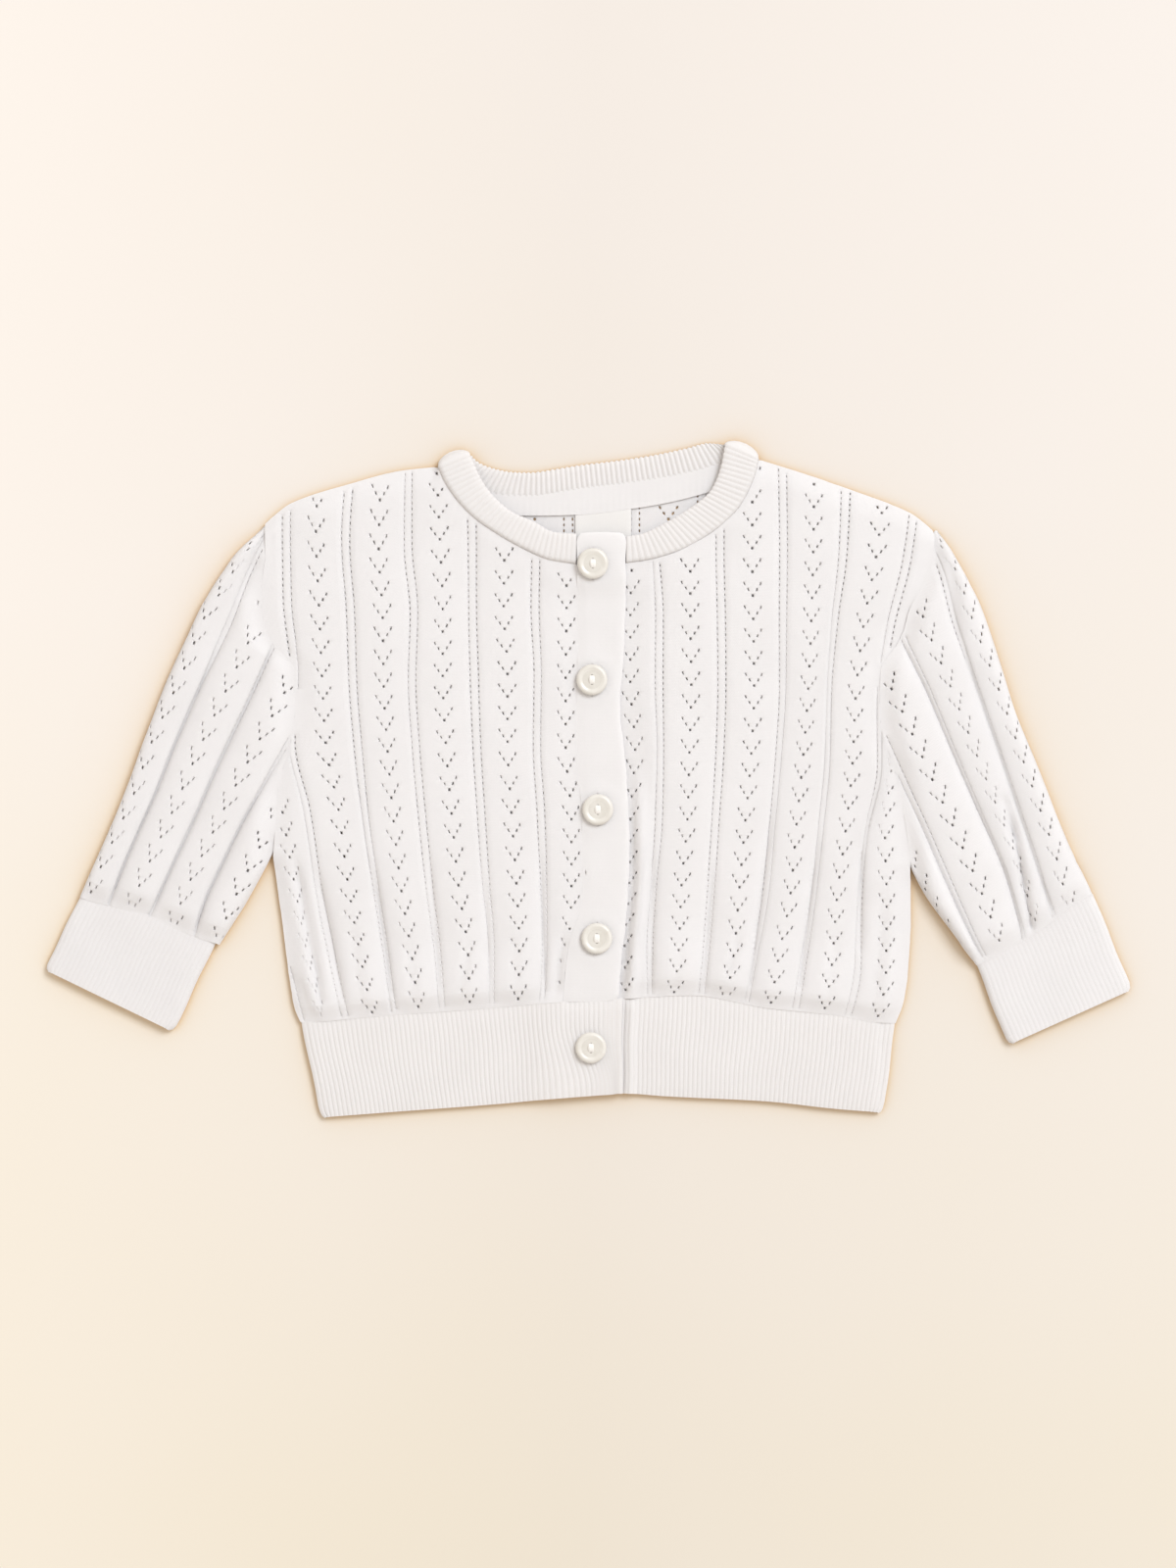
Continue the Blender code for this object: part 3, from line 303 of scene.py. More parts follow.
# Soft creases pressed into the fronts: from, to, depth, half width, and how
# keen the bottom is (1 a line pressed in, 0 a round trough).
CREASES = {
    "right": Table("x0 y0 x1 y1 deep wide keen", [
        (-112.0, -30.0, -100.0, -89.0, 1.5, 2.0, 0.8), (-120.4, -26.0, -108.8, -90.0, 2.3, 2.0, 0.5),
        (-88.0, -30.0, -80.0, -87.0, 1.1, 1.6, 0.9), (-65.0, -26.0, -60.4, -84.0, 0.8, 1.5, 0.9),
        (-42.4, -34.0, -39.8, -86.0, 0.7, 1.5, 0.9), (-19.4, -22.0, -17.6, -86.0, 1.2, 1.5, 1.0),
        (-47.2, -62.0, -52.0, -86.0, 0.6, 1.8, 0.5), (-9.6, -58.0, -13.6, -90.0, 1.2, 1.7, 0.6),
        (-31.0, -60.0, -29.0, -86.0, 0.4, 2.4, 0.0), (-73.0, -62.0, -71.0, -90.0, 0.5, 2.4, 0.0),
        (-97.0, -52.0, -92.0, -92.0, 0.5, 2.4, 0.0), (-120.0, -78.0, -113.0, -94.0, 0.6, 2.0, 0.3)]),
    "left": Table("x0 y0 x1 y1 deep wide keen", [
        (111.4, -22.0, 110.6, -68.0, 1.3, 1.8, 0.9), (94.6, -16.0, 86.0, -84.0, 1.3, 1.7, 0.9),
        (76.4, 0.0, 66.0, -83.0, 1.2, 1.7, 0.9), (51.4, -28.0, 47.0, -84.0, 0.8, 1.6, 0.8),
        (62.8, -60.0, 56.8, -79.0, 0.8, 1.5, 0.7), (26.6, -26.0, 25.4, -86.0, 1.0, 1.6, 0.7),
        (38.0, -64.0, 35.0, -86.0, 0.4, 2.4, 0.0), (121.0, -40.0, 117.0, -92.0, 0.8, 3.0, 0.2),
        (102.0, -58.0, 97.0, -92.0, 0.5, 2.4, 0.0), (132.0, 80.0, 121.0, 40.0, 0.5, 3.0, 0.0)]),
    "sleeve_left": Table("x0 y0 x1 y1 deep wide keen", [
        (168.4, -4.0, 173.6, -22.0, 1.4, 2.2, 0.5), (171.4, -12.0, 177.6, -42.0, 2.6, 2.0, 0.9),
        (175.8, -34.0, 181.4, -64.0, 2.4, 1.8, 0.9), (147.0, 96.0, 150.0, 60.0, 0.9, 3.0, 0.2)]),
    "sleeve_right": Table("x0 y0 x1 y1 deep wide keen", [
        (-134.0, 92.0, -140.4, 76.0, 0.9, 3.0, 0.2), (-126.0, -20.0, -131.0, -34.0, 0.8, 2.4, 0.4)])}


# ------------------------------------------------------------------- geometry
def to_world(x, y, z):
    return np.stack([(x + SHIFT_X) * MM, (y + SHIFT_Y) * MM, z * MM], -1)


def armhole_x(side, y):
    return np.interp(y, TORSO.col("y"), TORSO.col(side))


def arm_to_plan(side, a, n):
    (ox, oy), (dx, dy), sign = SLEEVE_AT[side]
    return ox + dx * a + sign * dy * n, oy + dy * a - sign * dx * n


def band_lift(y):
    return NECK_LIFT * smooth((y - LIFT_FROM) / (LIFT_TO - LIFT_FROM))


def hem_height(x):
    return np.where(x < 14.0, mix(HEM_OVER_Z, HEM_Z, smooth((-12.0 - x) / 18.0)), HEM_Z)


def top_edge(side, x):
    inner = x > NECK_POINT[side] if side == "right" else x < NECK_POINT[side]
    return np.where(inner, NECKLINE[side].at("y", x), SHOULDER[side].at("y", x))


def placket_x(side, y):
    if side == "right":
        return PLACKET.at("outer", y) - CURVE_GAP
    return PLACKET.at("inner", y) + CURVE_GAP


def front_height(side, x, y, trough):
    """Middle of the front's wall; trough is 1 on the ladders, 0 between them."""
    sign = -1.0 if side == "right" else 1.0
    from_side = sign * (armhole_x(side, y) - x)
    from_top = top_edge(side, x) - y
    from_hem = y - HEM_SEAM.at("y", x)
    from_band = sign * (x - placket_x(side, y))
    band = (OVER_BAND_Z if side == "right" else UNDER_BAND_Z) + band_lift(y)
    z = mix(band, BODY_Z, smooth(from_band / 14.0))
    fade = 1.0 - smooth(from_hem / FOLD_REACH)
    z = z - FOLD_DEEP * fade * trough * smooth(from_band / 10.0)
    z = z + (BLOUSE * smooth(from_hem / 8.0) * (1.0 - smooth((from_hem - 8.0) / 24.0))
             * smooth((from_band - 1.0) / 12.0))
    seam = (hem_height(x) if side == "right" else HEM_Z) + 0.12
    z = mix(seam, z, rounded(from_hem / 7.0))
    rise = NECK_EDGE_Z if side == "right" else mix(3.4, NECK_EDGE_Z, smooth((x - 16.0) / 30.0))
    neck = (x > NECK_POINT[side]) if side == "right" else (x < NECK_POINT[side])
    z = np.where(neck, mix(rise, z, smooth((from_top - 1.5) / 12.0)),
                 mix(1.6, z, rounded((from_top + 0.3) / SIDE_ROUND)))
    arm = mix(np.minimum(z, ARM_Z), z, smooth((from_side - 0.8) / 8.0))
    low = mix(ARM_Z, 1.55, smooth((ARMPIT[side] - y) / 10.0))
    edge = mix(np.minimum(z, low), z, rounded((from_side + 0.2) / SIDE_ROUND))
    return np.where(y > ARMPIT[side], arm, edge)


def creased(side, x, y):
    """Depth of the soft creases at plan points."""
    deep = np.zeros_like(x)
    for x0, y0, x1, y1, d, w, keen in CREASES[side].rows:
        px, py, lx, ly = x - x0, y - y0, x1 - x0, y1 - y0
        along = (px * lx + py * ly) / (lx * lx + ly * ly)
        t = np.clip(along, 0, 1)
        away = np.hypot(px - t * lx, py - t * ly)
        fade = smooth(along / 0.35) * (1 - 0.4 * smooth((along - 0.8) / 0.2))
        line = np.exp(-np.sqrt(np.square(away / (0.62 * w)) + 0.04) + 0.2)
        deep = deep + d * np.clip(fade, 0, 1) * mix(bell(away / w), line, keen)
    return 1.35 * deep


def gentle(x, y, size, amount, seed):
    """A few slow waves, so that no stretch of cloth lies dead flat."""
    g = np.random.default_rng(seed)
    out = np.zeros_like(x)
    for _ in range(7):
        ang, k, ph = g.uniform(0, 2 * np.pi), g.uniform(0.6, 1.5) / size, g.uniform(0, 6.28)
        out = out + np.sin(2 * np.pi * k * (x * math.cos(ang) + y * math.sin(ang)) + ph)
    return amount * out / 3.0


# ------------------------------------------------------------------ materials
def nodes_of(name):
    m = bpy.data.materials.new(name)
    m.use_nodes = True
    nt = m.node_tree
    return m, nt, nt.nodes["Principled BSDF"]


def maths(nt, op, a, b=None, c=None):
    n = nt.nodes.new("ShaderNodeMath")
    n.operation = op
    for i, v in enumerate((a, b, c)):
        if v is None:
            continue
        if isinstance(v, (int, float)):
            n.inputs[i].default_value = v
        else:
            nt.links.new(v, n.inputs[i])
    return n.outputs[0]


def knit_material(name, light, dark, wale, course, bump=0.5, sheen=0.25, mottle=0.6, rib=None):
    """Stockinette: rows of V stitches in fabric coordinates, matt, slightly fuzzy.
    In a rib the purl grooves, one each rib's width, are shaded a little."""
    m, nt, bsdf = nodes_of(name)
    uv = nt.nodes.new("ShaderNodeUVMap")
    uv.uv_map = "cloth"
    sep = nt.nodes.new("ShaderNodeSeparateXYZ")
    nt.links.new(uv.outputs[0], sep.inputs[0])
    u, v = sep.outputs[0], sep.outputs[1]
    across = maths(nt, "ABSOLUTE", maths(nt, "SUBTRACT", maths(nt, "FRACT", maths(nt, "DIVIDE", u, wale)), 0.5))
    row = maths(nt, "ADD", maths(nt, "DIVIDE", v, course), maths(nt, "MULTIPLY", across, 1.3))
    loop = maths(nt, "SINE", maths(nt, "MULTIPLY", row, 2 * math.pi))
    # each leg of a stitch is round: high in the middle of the half wale
    leg = maths(nt, "SINE", maths(nt, "MULTIPLY", across, 2 * math.pi))
    height = maths(nt, "ADD", maths(nt, "MULTIPLY", loop, 0.35), leg)
    pos = nt.nodes.new("ShaderNodeTexCoord")
    patch = nt.nodes.new("ShaderNodeTexNoise")
    patch.inputs["Scale"].default_value = 55.0
    patch.inputs["Detail"].default_value = 3.0
    nt.links.new(pos.outputs["Object"], patch.inputs["Vector"])
    fuzz = nt.nodes.new("ShaderNodeTexNoise")
    fuzz.inputs["Scale"].default_value = 1400.0
    fuzz.inputs["Detail"].default_value = 4.0
    nt.links.new(pos.outputs["Object"], fuzz.inputs["Vector"])
    height = maths(nt, "ADD", height, maths(nt, "MULTIPLY", fuzz.outputs[0], 0.9))
    b = nt.nodes.new("ShaderNodeBump")
    b.inputs["Strength"].default_value = bump
    b.inputs["Distance"].default_value = 0.00010
    nt.links.new(height, b.inputs["Height"])
    nt.links.new(b.outputs[0], bsdf.inputs["Normal"])
    # tone: painted shade makes the yarn's grooves a touch darker, and the cloth is faintly uneven
    fac = maths(nt, "ADD", maths(nt, "MULTIPLY", maths(nt, "ADD", leg, loop), 0.16),
                maths(nt, "MULTIPLY", patch.outputs[0], mottle))
    fac = maths(nt, "ADD", fac, maths(nt, "MULTIPLY", fuzz.outputs[0], 0.35))
    ramp = nt.nodes.new("ShaderNodeMapRange")
    ramp.inputs["From Min"].default_value = 0.15
    ramp.inputs["From Max"].default_value = 0.95
    nt.links.new(fac, ramp.inputs["Value"])
    tone = nt.nodes.new("ShaderNodeMix")
    tone.data_type = "RGBA"
    tone.inputs["A"].default_value = (*dark, 1)
    tone.inputs["B"].default_value = (*light, 1)
    nt.links.new(ramp.outputs[0], tone.inputs["Factor"])
    colour = tone.outputs["Result"]
    if rib:
        pitch, groove = rib
        off = maths(nt, "ABSOLUTE", maths(nt, "SUBTRACT", maths(nt, "FRACT", maths(nt, "ADD", maths(nt, "DIVIDE", u, pitch), 0.5)), 0.5))
        band = nt.nodes.new("ShaderNodeMapRange")
        band.inputs["From Min"].default_value = 0.05
        band.inputs["From Max"].default_value = 0.24
        band.inputs["To Min"].default_value = 1.0
        band.inputs["To Max"].default_value = 0.0
        nt.links.new(off, band.inputs["Value"])
        shade = nt.nodes.new("ShaderNodeMix")
        shade.data_type = "RGBA"
        shade.blend_type = "MULTIPLY"
        shade.inputs["B"].default_value = (*groove, 1)
        nt.links.new(band.outputs[0], shade.inputs["Factor"])
        nt.links.new(colour, shade.inputs["A"])
        colour = shade.outputs["Result"]
    nt.links.new(colour, bsdf.inputs["Base Color"])
    rough = nt.nodes.new("ShaderNodeMapRange")
    rough.inputs["To Min"].default_value = 0.80
    rough.inputs["To Max"].default_value = 0.95
    nt.links.new(fuzz.outputs[0], rough.inputs["Value"])
    nt.links.new(rough.outputs[0], bsdf.inputs["Roughness"])
    bsdf.inputs["Specular IOR Level"].default_value = 0.2
    bsdf.inputs["Sheen Weight"].default_value = sheen
    bsdf.inputs["Sheen Roughness"].default_value = 0.5
    bsdf.inputs["Sheen Tint"].default_value = (1.0, 0.97, 0.93, 1)
    # fine cotton lets a little light through
    thin = nt.nodes.new("ShaderNodeBsdfTranslucent")
    nt.links.new(colour, thin.inputs["Color"])
    nt.links.new(b.outputs[0], thin.inputs["Normal"])
    both = nt.nodes.new("ShaderNodeMixShader")
    both.inputs[0].default_value = THROUGH
    nt.links.new(bsdf.outputs[0], both.inputs[1])
    nt.links.new(thin.outputs[0], both.inputs[2])
    nt.links.new(both.outputs[0], nt.nodes["Material Output"].inputs["Surface"])
    return m


def label_material():
    """Satin woven tape: fine diagonal twill."""
    m, nt, bsdf = nodes_of("label_satin")
    uv = nt.nodes.new("ShaderNodeUVMap")
    uv.uv_map = "cloth"
    sep = nt.nodes.new("ShaderNodeSeparateXYZ")
    nt.links.new(uv.outputs[0], sep.inputs[0])
    warp = maths(nt, "SINE", maths(nt, "MULTIPLY", maths(nt, "ADD", sep.outputs[0], maths(nt, "MULTIPLY", sep.outputs[1], 0.5)), 2 * math.pi / 0.35))
    weft = maths(nt, "SINE", maths(nt, "MULTIPLY", sep.outputs[1], 2 * math.pi / 0.3))
    height = maths(nt, "ADD", warp, maths(nt, "MULTIPLY", weft, 0.5))
    b = nt.nodes.new("ShaderNodeBump")
    b.inputs["Strength"].default_value = 0.3
    b.inputs["Distance"].default_value = 0.00004
    nt.links.new(height, b.inputs["Height"])
    nt.links.new(b.outputs[0], bsdf.inputs["Normal"])
    # painted shade: the tone follows the twill's height, darker in its hollows
    ramp = nt.nodes.new("ShaderNodeMapRange")
    ramp.inputs["From Min"].default_value = -1.5
    ramp.inputs["From Max"].default_value = 1.5
    nt.links.new(height, ramp.inputs["Value"])
    tone = nt.nodes.new("ShaderNodeMix")
    tone.data_type = "RGBA"
    tone.inputs["A"].default_value = (0.690, 0.676, 0.662, 1)
    tone.inputs["B"].default_value = (0.745, 0.731, 0.718, 1)
    nt.links.new(ramp.outputs[0], tone.inputs["Factor"])
    nt.links.new(tone.outputs["Result"], bsdf.inputs["Base Color"])
    bsdf.inputs["Roughness"].default_value = 0.55
    bsdf.inputs["Sheen Weight"].default_value = 0.2
    return m


def pearl_material(name, low, high):
    """Pearly cream button: soft clouded layers under a clear coat."""
    m, nt, bsdf = nodes_of(name)
    pos = nt.nodes.new("ShaderNodeTexCoord")
    cloud = nt.nodes.new("ShaderNodeTexNoise")
    cloud.inputs["Scale"].default_value = 160.0
    cloud.inputs["Detail"].default_value = 3.0
    cloud.inputs["Distortion"].default_value = 1.2
    nt.links.new(pos.outputs["Object"], cloud.inputs["Vector"])
    tone = nt.nodes.new("ShaderNodeValToRGB")
    tone.color_ramp.elements[0].position = 0.30
    tone.color_ramp.elements[0].color = (*low, 1)
    tone.color_ramp.elements[1].position = 0.72
    tone.color_ramp.elements[1].color = (*high, 1)
    nt.links.new(cloud.outputs[0], tone.inputs[0])
    nt.links.new(tone.outputs[0], bsdf.inputs["Base Color"])
    rough = nt.nodes.new("ShaderNodeMapRange")
    rough.inputs["To Min"].default_value = 0.28
    rough.inputs["To Max"].default_value = 0.46
    nt.links.new(cloud.outputs[0], rough.inputs["Value"])
    nt.links.new(rough.outputs[0], bsdf.inputs["Roughness"])
    bsdf.inputs["Coat Weight"].default_value = 0.4
    bsdf.inputs["Coat Roughness"].default_value = 0.18
    bsdf.inputs["Specular IOR Level"].default_value = 0.5
    return m


def thread_material():
    m, nt, bsdf = nodes_of("sewing_thread")
    pos = nt.nodes.new("ShaderNodeTexCoord")
    twist = nt.nodes.new("ShaderNodeTexNoise")
    twist.inputs["Scale"].default_value = 2500.0
    nt.links.new(pos.outputs["Object"], twist.inputs["Vector"])
    tone = nt.nodes.new("ShaderNodeValToRGB")
    tone.color_ramp.elements[0].position = 0.3
    tone.color_ramp.elements[0].color = (0.80, 0.775, 0.74, 1)
    tone.color_ramp.elements[1].position = 0.7
    tone.color_ramp.elements[1].color = (0.90, 0.88, 0.85, 1)
    nt.links.new(twist.outputs[0], tone.inputs[0])
    nt.links.new(tone.outputs[0], bsdf.inputs["Base Color"])
    b = nt.nodes.new("ShaderNodeBump")
    b.inputs["Strength"].default_value = 0.4
    b.inputs["Distance"].default_value = 0.0001
    nt.links.new(twist.outputs[0], b.inputs["Height"])
    nt.links.new(b.outputs[0], bsdf.inputs["Normal"])
    bsdf.inputs["Roughness"].default_value = 0.6
    bsdf.inputs["Sheen Weight"].default_value = 0.3
    return m


LACE_KNIT = knit_material("lace_knit_cotton", (0.928, 0.914, 0.918), (0.875, 0.858, 0.859), 0.85, 0.62)
RIB_KNIT = knit_material("rib_cotton", (0.908, 0.890, 0.885), (0.856, 0.835, 0.828), 0.95, 0.62,
                         rib=(1.9, (0.975, 0.968, 0.960)))
CUFF_KNIT = knit_material("fine_rib_cotton", (0.912, 0.899, 0.903), (0.864, 0.847, 0.849), 0.95, 0.62,
                          rib=(1.9, (0.985, 0.980, 0.975)))
JERSEY = knit_material("plain_jersey_cotton", (0.923, 0.909, 0.910), (0.875, 0.858, 0.857), 0.7, 0.55, bump=0.4, mottle=0.5)
LABEL_CLOTH = label_material()
PEARL = pearl_material("button_pearl", (0.655, 0.627, 0.572), (0.725, 0.70, 0.655))
# a copy of the pearl painted darker, as shade in the button's sunk middle
PEARL_WELL_SHADE = pearl_material("button_pearl_well", (0.61, 0.582, 0.528), (0.675, 0.65, 0.602))
THREAD = thread_material()


# ------------------------------------------------------------ making the mesh
def make_piece(name, verts, faces, uv, material, wall=None, sharp=None, holes=None):
    """uv has a value for each vertex, in millimetres of cloth; holes marks the
    vertices on the rims of eyelets, which stay softly rounded."""
    mesh = bpy.data.meshes.new(name)
    mesh.from_pydata([tuple(p) for p in verts], [], faces)
    mesh.update()
    if uv is not None:
        layer = mesh.uv_layers.new(name="cloth")
        idx = np.zeros(len(mesh.loops), np.int32)
        mesh.loops.foreach_get("vertex_index", idx)
        layer.data.foreach_set("uv", np.asarray(uv, np.float32)[idx].ravel())
    mesh.shade_smooth()
    if sharp:
        mesh.set_sharp_from_angle(angle=math.radians(sharp))
    mesh.materials.append(material)
    obj = bpy.data.objects.new(name, mesh)
    bpy.context.scene.collection.objects.link(obj)
    if wall:
        # the cut edge is square, so that two pieces meet without a shaded line
        ends = np.zeros(len(mesh.edges) * 2, np.int32)
        mesh.edges.foreach_get("vertices", ends)
        of_loop = np.zeros(len(mesh.loops), np.int32)
        mesh.loops.foreach_get("edge_index", of_loop)
        rim = np.bincount(of_loop, minlength=len(mesh.edges)) == 1
        if holes is not None:
            rim &= ~np.asarray(holes, bool)[ends.reshape(-1, 2)].any(axis=1)
        mesh.edges.foreach_set("use_edge_sharp", rim)
        s = obj.modifiers.new("wall", "SOLIDIFY")
        s.thickness = wall * MM
        s.offset = 0.0
        s.use_even_offset = False
        s.use_rim = True
    return obj


def grid_faces(rows, cols, ring=False, flip=False):
    out = []
    for i in range(rows - 1):
        for j in range(cols if ring else cols - 1):
            k = (j + 1) % cols
            f = (i * cols + j, i * cols + k, (i + 1) * cols + k, (i + 1) * cols + j)
            out.append(f[::-1] if flip else f)
    return out


def taken(obj, node):
    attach(obj, "root")
    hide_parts(node)


def lace_columns(u_from, u_to, plain=3):
    """Column lines across the cloth, and the kind of each column of cells."""
    lines, kinds = [], []
    k0 = int(math.floor(u_from / V_WIDE)) - 1
    k1 = int(math.ceil(u_to / V_WIDE)) + 1
    for k in range(k0, k1 + 1):
        base = k * V_WIDE
        marks = [(-3.95, "v1"), (-2.45, "v2"), (-0.95, "v3"), (0.95, "v2"), (2.45, "v1")]
        step = (10.27 - 3.95) / plain
        marks += [(3.95 + step * s, "plain") for s in range(plain)]
        marks += [(10.27, "ladder"), (11.47, "rib"), (12.5, "rib"), (13.53, "ladder")]
        marks += [(14.73 + step * s, "plain") for s in range(plain)]
        for m, kind in marks:
            lines.append(base + m)
            kinds.append((kind, base + m))
    lines, kinds = np.array(lines), kinds
    keep = [i for i in range(len(lines)) if u_from <= lines[i] <= u_to]
    return lines[keep], [kinds[i][0] for i in keep[:-1]]


def lace_rows(c_from, c_to):
    """Row lines down the cloth, in courses, and the kind of each row of cells."""
    lines, kinds = [], []
    half = 0.93 / V_TALL
    for n in range(int(math.floor(c_from)) - 1, int(math.ceil(c_to)) + 2):
        for part, kind in ((-0.5, 1), (-0.25, 2), (0.0, 3), (0.25, 4)):
            lines += [n + part - half, n + part + half]
            kinds += [kind, 0]
    lines = np.array(lines)
    keep = [i for i in range(len(lines)) if c_from <= lines[i] <= c_to]
    return lines[keep], [kinds[i] for i in keep[:-1]]


def lace_piece(name, us, ukinds, cs, ckinds, place, level, material, wall=CLOTH,
               drop=0.25, flip=False, coarse=99.0, fine=99.0, margin=0.45):
    """A sheet of lace. place(u, c) gives x, y, z in mm; level(u, c) is positive
    inside the piece's outline. Cells on the outline are cut along it. Past the
    course coarse the ladders are plainer; past the course fine they close up."""
    nu, nc = len(us), len(cs)
    U, C = np.meshgrid(us, cs, indexing="ij")
    D = level(U.ravel(), C.ravel()).reshape(U.shape)
    inside = D > 0
    pu, pc, pd = list(U.ravel()), list(C.ravel()), [0.0] * (nu * nc)
    near = 0.12
    cuts, cut_pairs = {}, []

    def gid(i, j):
        return i * nc + j

    flatD = D.ravel()

    def cut(a, b):
        """The point where the edge from a (inside) to b (outside) is cut."""
        if flatD[a] < near:
            return a
        key = (a, b)
        if key not in cuts:
            cuts[key] = len(pu)
            pu.append(0.0), pc.append(0.0), pd.append(0.0)
            cut_pairs.append(key)
        return cuts[key]

    faces = []
    angles = np.arange(8) * math.pi / 4 + math.pi / 8
    corner_in = inside[:-1, :-1].astype(int) + inside[1:, :-1] + inside[1:, 1:] + inside[:-1, 1:]
    corner_min = np.minimum(np.minimum(D[:-1, :-1], D[1:, :-1]), np.minimum(D[1:, 1:], D[:-1, 1:]))
    jitter = np.random.default_rng(11)
    for i in range(nu - 1):
        kind = ukinds[i]
        for j in range(nc - 1):
            count = corner_in[i, j]
            if count == 0:
                continue
            q = [gid(i, j), gid(i + 1, j), gid(i + 1, j + 1), gid(i, j + 1)]
            if count < 4:
                poly = []
                for k in range(4):
                    a, b = q[k], q[(k + 1) % 4]
                    ia, ib = flatD[a] > 0, flatD[b] > 0
                    if ia:
                        poly.append(a)
                    if ia and not ib:
                        poly.append(cut(a, b))
                    elif ib and not ia:
                        poly.append(cut(b, a))
                clean = [p for k, p in enumerate(poly) if p != poly[k - 1]]
                if len(set(clean)) >= 3 and len(set(clean)) == len(clean):
                    faces.append(clean)
                continue
            row = ckinds[j]
            hole = None
            cu, cv = (us[i] + us[i + 1]) / 2, (cs[j] + cs[j + 1]) / 2
            wide, tall = us[i + 1] - us[i], (cs[j + 1] - cs[j]) * V_TALL
            if corner_min[i, j] > margin:
                if kind == "ladder" and row > 0:
                    shut = 1 - 0.42 * float(smooth((cv - fine) / 3.0))
                    hole = (0.37 * shut, 0.74 * shut, 0.0)
                elif kind == "v1" and row == 1 or kind == "v2" and row == 2:
                    lean = 0.56 if (cu % V_WIDE) > V_WIDE / 2 else -0.56
                    hole = (0.41, 0.98, lean) if kind == "v1" else (0.45, 0.96, lean)
                elif kind == "v3" and row == 3:
                    hole = (0.64, 0.80, 0.0)
                elif kind == "ladder" and row == 0 and cv < coarse:
                    base = len(pu)
                    for su, sv in ((-1, -1), (1, -1), (1, 1), (-1, 1)):
                        pu.append(cu + su * wide * 0.22)
                        pc.append(cv + sv * tall * 0.3 / V_TALL)
                        pd.append(0.34)
                    r = [base, base + 1, base + 2, base + 3]
                    faces.append(r)
                    for k in range(4):
                        faces.append([q[k], q[(k + 1) % 4], r[(k + 1) % 4], r[k]])
                    continue
            if hole is None:
                faces.append(q)
                continue
            ru, rv, lean = hole
            s = jitter.uniform(0.9, 1.12)
            base = len(pu)
            if cv > coarse and kind == "ladder":
                for su, sv in ((-1, -1), (1, -1), (1, 1), (-1, 1)):
                    pu.append(cu + su * ru * 0.75)
                    pc.append(cv + sv * rv * 0.8 / V_TALL)
                    pd.append(drop)
                r = [base, base + 1, base + 2, base + 3]
                for k in range(4):
                    faces.append([q[k], q[(k + 1) % 4], r[(k + 1) % 4], r[k]])
                continue
            for ang in angles:
                du, dv = ru * s * math.cos(ang), rv * s * math.sin(ang)
                # dv runs with the courses, towards the hem; the arms of a V
                # lean outwards away from it
                ca, sa = math.cos(lean), math.sin(lean)
                du, dv = du * ca + dv * sa, -du * sa + dv * ca
                pu.append(cu + max(-wide * 0.46, min(wide * 0.46, du)))
                pc.append(cv + max(-tall * 0.47, min(tall * 0.47, dv)) / V_TALL)
                pd.append(drop)
            r = [base + k for k in range(8)]     # from angle 22.5 deg, counter-clockwise
            # corners in (u, c): q0 (-,-), q1 (+,-), q2 (+,+), q3 (-,+)
            faces.append([q[1], q[2], r[0], r[7]])
            faces.append([q[2], r[1], r[0]])
            faces.append([q[2], q[3], r[2], r[1]])
            faces.append([q[3], r[3], r[2]])
            faces.append([q[3], q[0], r[4], r[3]])
            faces.append([q[0], r[5], r[4]])
            faces.append([q[0], q[1], r[6], r[5]])
            faces.append([q[1], r[7], r[6]])
    pu, pc, pd = np.array(pu), np.array(pc), np.array(pd)
    if cut_pairs:
        a = np.array([k[0] for k in cut_pairs])
        b = np.array([k[1] for k in cut_pairs])
        lo, hi = np.zeros(len(a)), np.ones(len(a))
        for _ in range(14):
            mid = (lo + hi) / 2
            d = level(mix(pu[a], pu[b], mid), mix(pc[a], pc[b], mid))
            lo, hi = np.where(d > 0, mid, lo), np.where(d > 0, hi, mid)
        at = np.array([cuts[k] for k in cut_pairs])
        pu[at], pc[at] = mix(pu[a], pu[b], lo), mix(pc[a], pc[b], lo)
    used = np.zeros(len(pu), bool)
    for f in faces:
        used[f] = True
    index = np.cumsum(used) - 1
    pu, pc, pd = pu[used], pc[used], pd[used]
    faces = [[int(index[k]) for k in (f if not flip else f[::-1])] for f in faces]
    x, y, z = place(pu, pc)
    verts = to_world(x, y, np.maximum(z - pd, wall / 2 + 0.04))
    uv = np.stack([pu, -pc * V_TALL], -1)
    return make_piece(name, verts, faces, uv, material, wall, holes=pd > 0)


